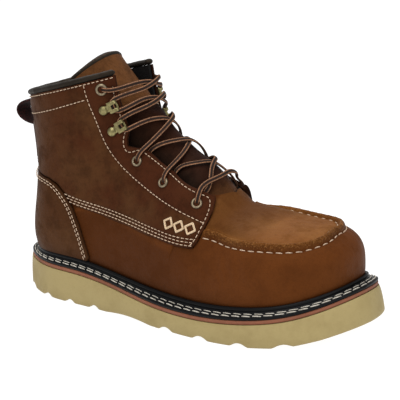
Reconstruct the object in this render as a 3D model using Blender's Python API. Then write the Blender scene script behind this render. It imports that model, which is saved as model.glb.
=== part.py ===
"""Moc toe work boot for the right foot, at its real size, +X to the toe, -Y the outer side.

The upper's outside is one closed form, read from a table of sections. Every leather panel, the
tongue, the collar, the eyelets and the lace lie on that form at their own lift from it.
Sizes are in millimetres; the meshes are made in metres.
"""
import math

import bmesh
import bpy
import numpy as np

# Section planes of the upper. Behind the ball they fan about a pivot line that runs across the
# boot above the ball; ahead of it they stand upright; round the toe they turn about an upright axis.
PIVOT_X = 58.0
PIVOT_Z = 205.0
FAN_STEP = 2.0
TOE_AXIS_X = 80.0
TOE_LENGTH = 58.6
TOE_SQUARE = 2.25
TOE_STEP = 0.9
TOE_START = TOE_AXIS_X - PIVOT_X
TOE_END = TOE_START + 90.0 * TOE_STEP

# Rows behind the ball: station = degrees of the fan, negative; ahead of it: mm in front of the pivot.
# top, bottom: distances from the pivot's height; widest: share of the section, from the bottom up.
SECTION_COLUMNS = ("station", "top", "bottom", "widest", "lateral", "medial",
                   "round_top", "round_medial", "round_low", "swing")
SECTIONS = (
    (-88.0, 97.0, 199.0, 0.50, 37.0, 36.5, 2.20, 2.20, 2.10, 0.0),
    (-76.0, 96.5, 202.5, 0.46, 36.5, 36.0, 2.20, 2.20, 2.10, 0.0),
    (-66.0, 96.5, 209.5, 0.38, 36.0, 35.5, 2.20, 2.20, 2.10, 0.0),
    (-60.0, 96.5, 219.0, 0.33, 36.0, 35.5, 2.15, 2.15, 2.10, 0.0),
    (-54.5, 96.5, 236.3, 0.30, 36.5, 36.0, 2.12, 2.12, 2.15, 0.0),
    (-48.0, 96.5, 257.7, 0.27, 37.0, 36.0, 2.10, 2.10, 2.40, 0.0),
    (-40.0, 96.3, 244.0, 0.28, 37.5, 36.0, 2.10, 2.05, 2.80, 0.0),
    (-30.0, 96.0, 220.5, 0.31, 41.5, 36.5, 2.10, 1.95, 3.00, 0.0),
    (-16.0, 101.0, 204.0, 0.33, 47.5, 40.5, 2.10, 1.75, 3.00, 0.0),
    (-9.0, 110.5, 200.5, 0.34, 49.8, 43.4, 1.85, 1.65, 3.00, 0.0),
    (-5.0, 117.0, 199.0, 0.35, 50.6, 45.0, 1.90, 1.75, 3.00, 0.0),
    (0.0, 121.0, 197.0, 0.36, 51.2, 46.5, 2.20, 2.30, 3.00, 0.0),
    (22.0, 126.8, 194.0, 0.38, 51.0, 48.0, 3.20, 3.20, 3.00, 0.5),
    (50.0, 127.2, 187.0, 0.38, 51.0, 48.0, 3.20, 3.20, 3.00, 2.0),
    (86.0, 125.5, 177.0, 0.40, 51.0, 48.0, 3.20, 3.20, 3.00, 3.5),
)


def table(columns, rows, name):
    index = columns.index(name)
    return np.array([row[index] for row in rows])


def spline(knots, values, at):
    """Natural cubic spline through a table's column."""
    knots = np.asarray(knots, float)
    values = np.asarray(values, float)
    gap = np.diff(knots)
    slope = np.diff(values) / gap
    count = len(knots)
    matrix = np.eye(count)
    right = np.zeros(count)
    for i in range(1, count - 1):
        matrix[i, i - 1:i + 2] = gap[i - 1], 2.0 * (gap[i - 1] + gap[i]), gap[i]
        right[i] = 6.0 * (slope[i] - slope[i - 1])
    bend = np.linalg.solve(matrix, right)
    at = np.clip(np.asarray(at, float), knots[0], knots[-1])
    cell = np.clip(np.searchsorted(knots, at) - 1, 0, count - 2)
    width = gap[cell]
    before = at - knots[cell]
    after = knots[cell + 1] - at
    cubic = (bend[cell] * after ** 3 + bend[cell + 1] * before ** 3) / (6.0 * width)
    low = (values[cell] / width - bend[cell] * width / 6.0) * after
    high = (values[cell + 1] / width - bend[cell + 1] * width / 6.0) * before
    return cubic + low + high


SECTION_AT = table(SECTION_COLUMNS, SECTIONS, "station")
SECTION_AT = np.where(SECTION_AT < 0.0, SECTION_AT * FAN_STEP, SECTION_AT)


def column(name, station):
    return spline(SECTION_AT, table(SECTION_COLUMNS, SECTIONS, name), station)


def station_of(x, z):
    """Section plane and distance from the pivot of a point seen from the side."""
    ahead = x - PIVOT_X
    below = PIVOT_Z - z
    fan = -np.degrees(np.arctan2(-ahead, below)) * FAN_STEP
    rear = ahead < 0.0
    return np.where(rear, fan, ahead), np.where(rear, np.hypot(ahead, below), below)


def level(point):
    """1 on the outside of the upper, less inside it."""
    x, y, z = np.moveaxis(np.asarray(point, float), -1, 0)
    station, depth = station_of(x, z)
    top = column("top", station)
    bottom = column("bottom", station)
    middle = bottom - column("widest", station) * (bottom - top)
    aside = y - column("swing", station)
    wide = np.where(aside < 0.0, column("lateral", station), column("medial", station))
    ahead = np.maximum(x - TOE_AXIS_X, 0.0) / TOE_LENGTH
    across = ((np.abs(aside) / wide) ** TOE_SQUARE + ahead ** TOE_SQUARE) ** (1.0 / TOE_SQUARE)
    low = depth > middle
    share = np.where(low, (depth - middle) / (bottom - middle), (middle - depth) / (middle - top))
    round_top = np.where(aside < 0.0, column("round_top", station), column("round_medial", station))
    power = np.where(low, column("round_low", station), round_top)
    return (across ** power + np.maximum(share, 0.0) ** power) ** (1.0 / power)


def outward(point):
    """Unit normal of the upper's form."""
    step = 0.05
    point = np.asarray(point, float)
    parts = []
    for axis in range(3):
        shift = np.zeros(3)
        shift[axis] = step
        parts.append(level(point + shift) - level(point - shift))
    normal = np.stack(parts, -1)
    return normal / np.maximum(np.linalg.norm(normal, axis=-1, keepdims=True), 1e-12)


def form(station, turn, side):
    """Point of the upper: turn 0 = underneath or back seam, 1 = ridge; side -1 lateral, +1 medial."""
    station, turn = np.broadcast_arrays(np.asarray(station, float), np.asarray(turn, float))
    angle = turn * math.pi
    toe = station > TOE_START
    plan = np.radians(np.clip((TOE_END - station) / TOE_STEP, 0.0, 90.0))
    cos_plan = np.where(toe, np.cos(plan), 0.0) ** (2.0 / TOE_SQUARE)
    sin_plan = np.where(toe, np.sin(plan), 1.0) ** (2.0 / TOE_SQUARE)
    low = turn < 0.5
    held = np.minimum(station, TOE_START)
    round_top = column("round_top" if side < 0 else "round_medial", held)
    power = np.where(low, column("round_low", held), round_top)
    across = np.sin(angle) ** (2.0 / power)
    along = np.abs(np.cos(angle)) ** (2.0 / power)
    ahead = across * cos_plan * TOE_LENGTH
    here = np.where(toe, TOE_START + ahead, station)
    top = column("top", here)
    bottom = column("bottom", here)
    middle = bottom - column("widest", here) * (bottom - top)
    depth = np.where(low, middle + along * (bottom - middle), middle - along * (middle - top))
    wide = column("lateral" if side < 0 else "medial", here)
    y = column("swing", here) + side * across * sin_plan * wide
    fan = np.radians(np.minimum(here, 0.0) / FAN_STEP)
    x = PIVOT_X + np.where(here < 0.0, depth * np.sin(fan), here)
    z = PIVOT_Z - np.where(here < 0.0, depth * np.cos(fan), depth)
    return np.stack([x, y, z], -1)


# Plan of the sole: share of the length from the heel, and the edge's distance from the middle line.
SOLE_BACK = -152.0
SOLE_FRONT = 153.5
PLAN_COLUMNS = ("share", "lateral", "medial")
PLAN = (
    (0.0, 0.0, 0.0),
    (0.02, 17.0, 17.0),
    (0.06, 28.5, 28.5),
    (0.13, 39.4, 38.2),
    (0.24, 43.8, 41.8),
    (0.38, 47.8, 42.6),
    (0.52, 55.4, 46.0),
    (0.66, 59.4, 52.0),
    (0.78, 57.2, 54.6),
    (0.88, 49.0, 51.4),
    (0.95, 31.2, 40.4),
    (0.985, 14.5, 26.0),
    (1.0, -5.0, 5.0),
)


def plan_angle(share):
    return np.arccos(np.clip(1.0 - 2.0 * np.asarray(share, float), -1.0, 1.0))


def sole_edge(x, side):
    """Distance of the sole's edge from the middle line at x."""
    share = (np.asarray(x, float) - SOLE_BACK) / (SOLE_FRONT - SOLE_BACK)
    name = "lateral" if side < 0 else "medial"
    knots = plan_angle(table(PLAN_COLUMNS, PLAN, "share"))
    return spline(knots, table(PLAN_COLUMNS, PLAN, name), plan_angle(share))


# Sizes of the pieces, mm.
MM = 0.001
GAP = 0.3
WALL = 2.4
PANEL = 1.7
PANEL_GAP = 0.3
PANEL_BED = 0.8
UPPER_LOW_ROWS = 6
UPPER_HIGH_ROWS = 4
QUARTER_ROWS = 9
COUNTER_ROWS = 5
TONGUE_ROWS = 6
PANEL_LIFT = PANEL_GAP + PANEL
MIDSOLE_THICK = 2.8
WELT_THICK = 4.4
WELT_EDGE = 2.2
BEAD_RISE = 4.0
BEAD_SHOULDER = 1.2
BEAD_CREST = 0.9
BEAD_WIDE = 2.6
BEAD_FOOT = 3.2
INSOLE_THICK = 3.0
INSOLE_LIFT = 0.2
SOLE_INSET = 1.2
TOE_FLARE = 3.0
WELT_INSET = 0.6
WELT_FIT = 0.6
WELT_LEAST = 1.0
INSOLE_FIT = 4.2
COLLAR_STATION = -74.9
COLLAR_RISE = 2.0
COLLAR_HALF = 3.1
COLLAR_SET_IN = 0.2
COLLAR_STEPS = 11
COLLAR_SIDES = 8
TONGUE_THICK = 4.0
TONGUE_TOP = -82.6
TONGUE_DROP = 6.0
TONGUE_ROUND = 1.8
TONGUE_ROUND_FROM = -62.0
TONGUE_SINK = WALL + 0.9
LOOP_HALF = 8.0
LOOP_THICK = 1.8
LOOP_TOP_Z = 146.5
LOOP_LOW_Z = 126.5
LOOP_REACH = 21.0
LOOP_SEAT = 0.4
LOOP_STATION = -72.0
LOOP_ROOT = 3.0
LOOP_END_BACK = 1.5
LOOP_STEPS = 9
EYELET_OUTER = 4.3
EYELET_HOLE = 2.3
EYELET_THICK = 1.1
EYELET_BEVEL = 0.4
EYELET_SHOULDER = 0.7
EYELET_SIDES = 12
HOOK_THICK = 1.1
FITTING_SEAT = 0.25
LACE_HALF_WIDE = 1.9
LACE_HALF_THICK = 1.0
LACE_LIFT = -0.8
LACE_BAR_LIFT = 1.8
LACE_OVER_LIFT = 5.3
LACE_UNDER_LIFT = 0.8
LACE_HOOK_LIFT = 3.6
LACE_UNDER_REACH = 3.2
LACE_STEPS = 11
LACE_SIDES = 6
HOOK_REACH = 9.1
HOOK_TURN = 1.5
SEAM_RISE = 1.9
SEAM_HALF_TURN = 0.022
SEAM_START = -16.0
SEAM_RISE_FROM = -8.0
SEAM_RISE_LENGTH = 10.0
BACK_SEAM_TURN = 0.006
LEAST_TURN = 0.004
COUNTER_CLEAR = 1.0
SHARP_ANGLE = 40.0
HALVINGS = 40
RAY_LONGEST = 90.0
TURN_STEP = 0.02
FOOT_TURN_MOST = 0.9
LUG_DEPTH = 2.6
ARCH_RISE = 1.6
GROOVE_START = 0.25
HEEL_AXIS_X = -104.0
RAY_TOE_X = 84.0
MEDIAL_SET = 6.0
MEDIAL_FADE = (-14.0, -9.0)
FRONT_FROM = (-90.0, -24.0, -8.6)
FRONT_MEDIAL = (-90.0, -24.0, -10.1)
THROAT_FOOT = (-11.3, -7.4)
QUARTER_BACK = -46.8
QUARTER_BACK_TOP = -62.1
QUARTER_FRONT = (-8.4, -9.9)
COUNTER_FRONT = -38.0

# Rays in plan round the heel, along each side and round the toe.
OUTSOLE_RAYS = (8, 38, 10)
RIM_RAYS = (8, 17, 10)
INSOLE_RAYS = (6, 11, 8)
PLATE_SHARES = (0.0, 0.35, 0.7, 1.0)

# Heights along the sole: top of the wedge and the bottom it is cut from.
HEIGHT_COLUMNS = ("x", "wedge_top", "ground")
HEIGHTS = (
    (-152.0, 23.6, 1.5),
    (-138.0, 23.8, 0.0),
    (-110.0, 23.8, 0.0),
    (-75.0, 23.2, 0.0),
    (-40.0, 19.2, 0.0),
    (-10.0, 15.2, 0.0),
    (25.0, 13.4, 0.0),
    (60.0, 14.4, 0.0),
    (85.0, 17.0, 0.5),
    (110.0, 21.3, 3.0),
    (133.0, 28.2, 8.4),
    (153.5, 37.0, 14.8),
)

# Runs of lugs along the sole: first and last x and the pitch.
LUG_COLUMNS = ("first", "last", "pitch")
LUGS = (
    (-149.0, -49.0, 25.0),
    (-2.0, 127.2, 32.3),
)

# Pattern lines on the upper: station as in the sections, depth = distance from the pivot.
LINE_COLUMNS = ("station", "depth")
THROAT_EDGE = (
    (-76.5, 107.2),
    (-71.0, 108.7),
    (-59.5, 113.0),
    (-53.5, 116.5),
    (-51.5, 121.0),
    (-49.6, 123.5),
    (-47.6, 120.0),
    (-45.2, 115.2),
    (-42.7, 113.6),
    (-29.3, 109.0),
    (-15.7, 109.7),
    (-11.3, 111.6),
)
QUARTER_TOP = THROAT_EDGE[:-1] + (
    (-11.3, 112.4),
    (-10.2, 115.0),
    (-9.0, 120.6),
    (-8.5, 127.0),
)
QUARTER_LOW = (
    (-62.2, 216.2),
    (-60.5, 213.2),
    (-58.1, 204.9),
    (-55.8, 195.2),
    (-53.6, 190.9),
    (-50.7, 189.5),
    (-47.2, 189.0),
    (-41.1, 175.3),
    (-32.2, 161.0),
    (-21.6, 151.1),
    (-9.8, 145.4),
    (-9.0, 141.0),
    (-8.5, 132.0),
)
COUNTER_TOP = (
    (-62.0, 217.2),
    (-60.5, 214.6),
    (-58.1, 206.2),
    (-55.8, 196.5),
    (-53.6, 192.2),
    (-50.7, 190.8),
    (-47.2, 191.8),
    (-43.3, 196.6),
    (-38.3, 206.0),
    (-36.4, 211.0),
)
SEAM_LATERAL = (
    (-14.0, 134.5),
    (-6.2, 134.6),
    (2.3, 135.8),
    (22.0, 135.6),
    (45.0, 135.2),
    (60.0, 134.4),
    (77.0, 132.8),
    (103.0, 130.8),
)
SEAM_MEDIAL = (
    (-14.0, 131.0),
    (-6.2, 129.5),
    (2.3, 130.5),
    (22.0, 132.4),
    (45.0, 132.4),
    (60.0, 132.2),
    (77.0, 131.4),
    (103.0, 130.8),
)

# Eyelets and hook rivets on each side, from the throat's foot to the collar: name, station, depth.
FITTINGS = (
    ("eyelet_1", -14.5, 117.8),
    ("eyelet_2", -29.7, 118.4),
    ("eyelet_3", -43.3, 124.3),
    ("hook_1", -56.6, 122.5),
    ("hook_2", -64.2, 120.0),
    ("eyelet_4", -71.2, 118.8),
)

# Tongue from its top to its foot: where its sides end and how far it leans back, mm.
TONGUE_COLUMNS = ("station", "edge_turn", "lean")
TONGUE = (
    (-86.0, 0.69, 31.0),
    (-76.0, 0.67, 19.5),
    (-66.0, 0.65, 8.8),
    (-55.0, 0.68, 1.5),
    (-40.0, 0.71, 0.0),
    (-20.0, 0.73, 0.0),
    (2.0, 0.76, 0.2),
)

# Lace hook in profile, from the rivet out to the bend and back, mm.
HOOK_COLUMNS = ("ahead", "rise", "half_width")
HOOK = (
    (-7.2, 0.0, 1.4),
    (-5.8, 0.0, 3.0),
    (-3.2, 0.0, 3.6),
    (-0.6, 0.0, 3.2),
    (5.2, 0.0, 3.8),
    (6.6, 0.5, 3.8),
    (7.2, 1.9, 3.8),
    (6.6, 3.3, 3.8),
    (5.2, 3.9, 3.8),
    (2.2, 4.1, 3.4),
)

# Crossings of the lace: name, the lower fittings it leaves and the upper ones it reaches.
CROSSINGS = (
    ("lace_1", "eyelet_1", "eyelet_2"),
    ("lace_2", "eyelet_2", "eyelet_3"),
    ("lace_3", "eyelet_3", "hook_1"),
    ("lace_4", "hook_1", "hook_2"),
    ("lace_5", "hook_2", "eyelet_4"),
)

# Sections at which the panels' grids are cut, behind the ball.
UPPER_REAR = (
    COLLAR_STATION, -70.0, -66.0, -63.0, -60.5, -58.5, -57.0, -55.5, -54.0, -51.5, -49.6, -48.6, -47.6, -46.6,
    -45.6, -44.4, -42.5, -40.0, -36.0, -31.0, -26.0, -21.0, -16.0, -11.3, -9.6, -8.4, -7.7, -7.4, -4.0,
)
UPPER_MIDDLE = (0.0, 11.0)
UPPER_TOE_COUNT = 12
QUARTER_SECTIONS = (
    COLLAR_STATION, -70.0, -66.0, -63.5, -62.2, -61.8, -61.4, -61.0, -60.5, -59.7, -58.5, -57.0, -55.5,
    -54.0, -51.5, -49.6, -47.6, -45.6, -42.5, -40.0, -36.0, -31.0, -26.0, -21.0, -16.0, -11.3, -10.2,
    -9.5, -9.0, -8.6,
)
COUNTER_SECTIONS = (
    -61.6, -61.2, -60.8, -60.2, -59.4, -58.5, -57.3, -55.8, -54.0, -52.0, -50.4, -49.7, -49.2, -48.8, -48.2,
    -47.6, -46.6, -45.6, -44.4, -42.5, -40.0, -38.0, -36.9,
)
TONGUE_SECTIONS = (
    TONGUE_TOP, -80.0, -75.0, -69.0, -62.0, -55.0, -48.0, -44.5, -41.0, -37.0, -32.0, -25.0, -18.0, -14.0,
    -11.0, -9.0, -7.0, -5.0, -2.5,
)

# Looks: colour, roughness, metallic.
LOOKS = {
    "rubber": ((0.46, 0.37, 0.18, 1.0), 0.75, 0.0),
    "rust": ((0.37, 0.12, 0.07, 1.0), 0.70, 0.0),
    "black": ((0.012, 0.012, 0.013, 1.0), 0.55, 0.0),
    "board": ((0.20, 0.15, 0.10, 1.0), 0.80, 0.0),
    "tan": ((0.21, 0.085, 0.025, 1.0), 0.70, 0.0),
    "brown": ((0.085, 0.030, 0.012, 1.0), 0.65, 0.0),
    "webbing": ((0.045, 0.010, 0.008, 1.0), 0.80, 0.0),
    "brass": ((0.42, 0.36, 0.22, 1.0), 0.35, 1.0),
    "cord": ((0.16, 0.07, 0.03, 1.0), 0.80, 0.0),
}

SOLIDS = []


def keep(name, points, faces, look):
    SOLIDS.append((name, np.asarray(points, float), faces, look))


def fan(station):
    """Station in mm from degrees behind the ball, or mm ahead of it."""
    station = np.asarray(station, float)
    return np.where(station < 0.0, station * FAN_STEP, station)


def line_depth(line, station, side=-1):
    """Depth of a pattern line at stations in mm."""
    at = fan(table(LINE_COLUMNS, line, "station"))
    return np.interp(station, at, table(LINE_COLUMNS, line, "depth")) + medial_set(station, side)


def medial_set(station, side):
    """How much deeper the throat's edge and fittings sit on the medial side."""
    if side < 0:
        return 0.0
    return np.interp(station, fan(MEDIAL_FADE), (MEDIAL_SET, 0.0))


def quarter_place(stations, side):
    """Stations of a quarter's sections; the medial quarter's front lies further back."""
    if side < 0:
        return stations
    return np.interp(stations, fan(FRONT_FROM), fan(FRONT_MEDIAL))


def turn_at(station, depth, side):
    """Turn where the section reaches a depth; 0 where the depth lies below the section."""
    low = np.zeros_like(station)
    high = np.ones_like(station)
    for _ in range(HALVINGS):
        middle = 0.5 * (low + high)
        point = form(station, middle, side)
        reached = station_of(point[..., 0], point[..., 2])[1] > depth
        low = np.where(reached, middle, low)
        high = np.where(reached, high, middle)
    return low


def lifted(point, lift):
    return point + outward(point) * np.asarray(lift, float)[..., None]


def wedge_top(x):
    return spline(table(HEIGHT_COLUMNS, HEIGHTS, "x"), table(HEIGHT_COLUMNS, HEIGHTS, "wedge_top"), x)


def ground(x):
    """Bottom of the wedge: toe spring, smooth arch and the grooves between the lugs."""
    x = np.asarray(x, float)
    base = np.interp(x, table(HEIGHT_COLUMNS, HEIGHTS, "x"), table(HEIGHT_COLUMNS, HEIGHTS, "ground"))
    heel_end = LUGS[0][LUG_COLUMNS.index("last")]
    ball_start = LUGS[1][LUG_COLUMNS.index("first")]
    along = np.clip((x - heel_end) / (ball_start - heel_end), 0.0, 1.0)
    base = base + ARCH_RISE * np.sin(math.pi * along)
    for first, last, pitch in LUGS:
        wave = -np.cos(2.0 * math.pi * (x - first) / pitch)
        groove = np.clip((wave - GROOVE_START) / (1.0 - GROOVE_START), 0.0, 1.0)
        base = base + np.where((x >= first) & (x <= last), LUG_DEPTH * groove, 0.0)
    return base


def midsole_top(x):
    return wedge_top(x) + GAP + MIDSOLE_THICK


def feather(x):
    """Height of the upper's lower edge."""
    return midsole_top(x) + GAP


def bead_top(x):
    return feather(x) + WELT_THICK + BEAD_RISE


def weld(points, faces):
    """One index for points that coincide, and faces without repeats."""
    key = np.round(points, 2) + 0.0
    _, first, index = np.unique(key, axis=0, return_index=True, return_inverse=True)
    index = index.reshape(-1)
    kept = []
    for face in faces:
        loop = [int(index[i]) for i in face]
        loop = [a for a, b in zip(loop, loop[1:] + loop[:1]) if a != b]
        if len(set(loop)) >= 3:
            kept.append(tuple(loop))
    return first, kept


def sheet_solid(name, outer, inner, faces, look):
    """Closed solid between two sheets with the same faces."""
    first, faces = weld(outer, faces)
    outer = outer[first]
    inner = inner[first]
    count = len(outer)
    used = {}
    for face in faces:
        for a, b in zip(face, face[1:] + face[:1]):
            used[(a, b)] = True
    rim = [(b, a, a + count, b + count) for a, b in used if (b, a) not in used]
    back = [tuple(i + count for i in reversed(face)) for face in faces]
    keep(name, np.concatenate([outer, inner]), faces + back + rim, look)


def grid_faces(rows, columns, start=0, flip=False, closed=False):
    """Quads of a grid stored row by row; closed joins the last column to the first."""
    faces = []
    for r in range(rows - 1):
        for c in range(columns if closed else columns - 1):
            right = (c + 1) % columns
            quad = (start + r * columns + c, start + r * columns + right,
                    start + (r + 1) * columns + right, start + (r + 1) * columns + c)
            faces.append(quad[::-1] if flip else quad)
    return faces


def both_sides(make):
    """Points and faces of a lateral and a medial grid; make(side) gives outer and inner grids."""
    outers = []
    inners = []
    faces = []
    start = 0
    for side in (-1, 1):
        outer, inner = make(side)
        rows, columns = outer.shape[:2]
        faces += grid_faces(rows, columns, start, flip=side > 0)
        start += rows * columns
        outers.append(outer.reshape(-1, 3))
        inners.append(inner.reshape(-1, 3))
    return np.concatenate(outers), np.concatenate(inners), faces


def rim_rays(heel, sides, toe):
    """Rays in plan from a spine inside the boot: heel fan, sides, toe fan, once round."""
    back = np.radians(np.linspace(180.0, 90.0, heel, endpoint=False))
    front = np.radians(np.linspace(90.0, 0.0, toe + 1))
    middle = np.linspace(HEEL_AXIS_X, RAY_TOE_X, sides, endpoint=False)
    start = np.concatenate([np.full(heel, HEEL_AXIS_X), middle, np.full(toe + 1, RAY_TOE_X)])
    angle = np.concatenate([back, np.full(sides, math.pi / 2.0), front])
    start = np.concatenate([start, start[-2:0:-1]])
    sign = np.concatenate([np.full(len(angle), -1.0), np.full(len(angle) - 2, 1.0)])
    angle = np.concatenate([angle, angle[-2:0:-1]])
    return start, np.cos(angle), np.sin(angle) * sign


def reach(rays, inside):
    """Distance along each ray to where inside(x, y) ends."""
    start, along, across = rays
    low = np.zeros_like(start)
    high = np.full_like(start, RAY_LONGEST)
    for _ in range(HALVINGS):
        middle = 0.5 * (low + high)
        held = inside(start + along * middle, across * middle)
        low = np.where(held, middle, low)
        high = np.where(held, high, middle)
    return low


def in_sole(x, y):
    edge = np.where(y < 0.0, sole_edge(x, -1), sole_edge(x, 1))
    return (x > SOLE_BACK) & (x < SOLE_FRONT) & (np.abs(y) < edge)


def in_form(height):
    def inside(x, y):
        return level(np.stack([x, y, height(x)], -1)) < 1.0
    return inside


def loop_at(rays, distance, height):
    start, along, across = rays
    x = start + along * distance
    return np.stack([x, across * distance, height(x)], -1)


def plate(name, rays, top_reach, low_reach, top, low, look):
    """Solid plate from the spine out to two loops, one on top and one below."""
    outer = np.concatenate([loop_at(rays, top_reach * share, top) for share in PLATE_SHARES])
    inner = np.concatenate([loop_at(rays, low_reach * share, low) for share in PLATE_SHARES])
    columns = len(rays[0])
    faces = grid_faces(len(PLATE_SHARES), columns, closed=True)
    sheet_solid(name, outer, inner, faces, look)


def ring(name, loops, look):
    """Solid ring swept round a closed profile of loops."""
    columns = len(loops[0])
    points = np.concatenate(loops)
    faces = grid_faces(len(loops), columns, closed=True)
    last = (len(loops) - 1) * columns
    for c in range(columns):
        right = (c + 1) % columns
        faces.append((last + c, last + right, right, c))
    keep(name, points, faces, look)


def tube(path, across, up, half_wide, half_thick, sides):
    """Points and faces of a capped tube of oval section along a path."""
    turns = np.linspace(0.0, 2.0 * math.pi, sides, endpoint=False)
    rings = []
    for point, a, u in zip(path, across, up):
        rings.append(point + half_wide * np.cos(turns)[:, None] * a + half_thick * np.sin(turns)[:, None] * u)
    points = np.concatenate(rings)
    faces = grid_faces(len(path), sides, closed=True)
    faces.append(tuple(range(sides - 1, -1, -1)))
    last = (len(path) - 1) * sides
    faces.append(tuple(last + i for i in range(sides)))
    return points, faces


def unit(vector):
    vector = np.asarray(vector, float)
    return vector / np.linalg.norm(vector, axis=-1, keepdims=True)


def make_sole():
    rays = rim_rays(*OUTSOLE_RAYS)
    edge = reach(rays, in_sole)
    flare = TOE_FLARE * np.maximum(rays[1], 0.0)
    plate("outsole", rays, edge - SOLE_INSET - flare, edge, wedge_top, ground, "rubber")
    coarse = rim_rays(*RIM_RAYS)
    edge = reach(coarse, in_sole) - SOLE_INSET - WELT_INSET - TOE_FLARE * np.maximum(coarse[1], 0.0)

    def midsole_low(x):
        return wedge_top(x) + GAP

    plate("midsole", coarse, edge, edge, midsole_top, midsole_low, "rust")

    def welt_high(x):
        return feather(x) + WELT_THICK

    def welt_edge(x):
        return feather(x) + WELT_EDGE

    def bead_side(x):
        return bead_top(x) - BEAD_SHOULDER

    fit_low = reach(coarse, in_form(feather)) + WELT_FIT
    fit_flat = reach(coarse, in_form(welt_high)) + WELT_FIT
    fit_bead = reach(coarse, in_form(bead_side)) + WELT_FIT
    fit_top = reach(coarse, in_form(bead_top)) + WELT_FIT
    loops = [
        loop_at(coarse, fit_low, feather),
        loop_at(coarse, fit_flat, welt_high),
        loop_at(coarse, fit_bead, bead_side),
        loop_at(coarse, fit_top + BEAD_CREST, bead_top),
        loop_at(coarse, fit_bead + BEAD_WIDE, bead_side),
        loop_at(coarse, np.minimum(fit_flat + BEAD_FOOT, edge - WELT_LEAST), welt_high),
        loop_at(coarse, edge, welt_edge),
        loop_at(coarse, edge, feather),
    ]
    ring("welt", loops, "black")

    def insole_low(x):
        return feather(x) + INSOLE_LIFT

    def insole_top(x):
        return insole_low(x) + INSOLE_THICK

    few = rim_rays(*INSOLE_RAYS)
    inside = reach(few, in_form(feather)) - INSOLE_FIT
    plate("insole", few, inside, inside, insole_top, insole_low, "board")


def upper_stations():
    toe = np.linspace(TOE_START, TOE_END, UPPER_TOE_COUNT)
    return np.concatenate([fan(UPPER_REAR), UPPER_MIDDLE, toe])


def lower_turn(station, side, height):
    """Turn at which each section stands at height(x); 0 where it ends above it."""
    low = np.zeros_like(station)
    high = np.full_like(station, FOOT_TURN_MOST)
    for _ in range(HALVINGS):
        middle = 0.5 * (low + high)
        point = form(station, middle, side)
        under = point[..., 2] < height(point[..., 0])
        low = np.where(under, middle, low)
        high = np.where(under, high, middle)
    return np.where(low < 1e-6, 0.0, low)


def upper_turn(station, side):
    """Turn of the upper's top: the throat's edge, or the ridge ahead of the throat."""
    edge = turn_at(station, line_depth(THROAT_EDGE, station, side), side)
    open_until, closed_from = fan(THROAT_FOOT)
    share = np.clip((station - open_until) / (closed_from - open_until), 0.0, 1.0)
    return 1.0 - (1.0 - edge) * np.sqrt(1.0 - share ** 2)


def under_panel(stations, turn, side):
    """Where the quarter or the counter lies over the upper, which is pared down for them."""
    quarter = turn_at(stations, line_depth(QUARTER_LOW, stations), side)
    quarter = np.where(stations < fan(QUARTER_BACK), 0.0, quarter)
    counter = turn_at(stations, line_depth(COUNTER_TOP, stations), side)
    front = QUARTER_FRONT[0] if side < 0 else QUARTER_FRONT[1]
    above = (turn >= quarter) & (stations < fan(front))
    below = (turn <= counter) & (stations < fan(COUNTER_FRONT))
    return above | below


def make_upper():
    stations = upper_stations()
    low_rows = np.linspace(0.0, 1.0, UPPER_LOW_ROWS)
    high_rows = np.linspace(0.0, 1.0, UPPER_HIGH_ROWS)
    fade = np.clip((stations - fan(SEAM_RISE_FROM)) / SEAM_RISE_LENGTH, 0.0, 1.0)

    def make(side):
        low = lower_turn(stations, side, feather)
        high = upper_turn(stations, side)
        seam = turn_at(stations, line_depth(SEAM_LATERAL if side < 0 else SEAM_MEDIAL, stations), side)
        seam = np.where(stations < fan(SEAM_START), 0.5 * (low + high), seam)
        parts = [low + (seam - SEAM_HALF_TURN - low) * row for row in low_rows]
        parts += [seam]
        above = seam + SEAM_HALF_TURN
        parts += [above + (high - above) * row for row in high_rows]
        turn = np.stack(parts)
        rise = np.zeros_like(turn)
        rise[len(low_rows)] = SEAM_RISE * fade
        rise = np.where(under_panel(stations, turn, side), -PANEL_BED, rise)
        skin = form(np.broadcast_to(stations, turn.shape), turn, side)
        return lifted(skin, rise), lifted(skin, np.full(turn.shape, -WALL))

    sheet_solid("upper", *both_sides(make), "tan")


def band(stations, low, high, rows, side, low_lift, high_lift):
    """Outer and inner grids of a panel between two turns of each section."""
    share = np.linspace(0.0, 1.0, rows)[:, None]
    turn = low + (high - low) * share
    skin = form(np.broadcast_to(stations, turn.shape), turn, side)
    return lifted(skin, np.full(turn.shape, high_lift)), lifted(skin, np.full(turn.shape, low_lift))


def make_quarters():
    stations = fan(QUARTER_SECTIONS)
    for side, name in ((-1, "quarter_lateral"), (1, "quarter_medial")):
        placed = quarter_place(stations, side)
        low = turn_at(placed, line_depth(QUARTER_LOW, stations), side)
        low = np.where(stations < fan(QUARTER_BACK_TOP), BACK_SEAM_TURN, np.maximum(low, BACK_SEAM_TURN))
        high = turn_at(placed, line_depth(QUARTER_TOP, stations) + medial_set(placed, side), side)
        outer, inner = band(placed, low, high, QUARTER_ROWS, side, PANEL_GAP, PANEL_LIFT)
        faces = grid_faces(QUARTER_ROWS, len(stations), flip=side > 0)
        sheet_solid(name, inner.reshape(-1, 3), outer.reshape(-1, 3), faces, "brown")


def make_counter():
    stations = fan(COUNTER_SECTIONS)

    def rim(x):
        return bead_top(x) + COUNTER_CLEAR

    def make(side):
        low = lower_turn(stations, side, rim)
        high = turn_at(stations, line_depth(COUNTER_TOP, stations), side)
        high = np.maximum(high, low + LEAST_TURN)
        outer, inner = band(stations, low, high, COUNTER_ROWS, side, PANEL_GAP, PANEL_LIFT)
        return inner, outer

    outer, inner, faces = both_sides(make)
    sheet_solid("counter", outer, inner, faces, "brown")


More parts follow.
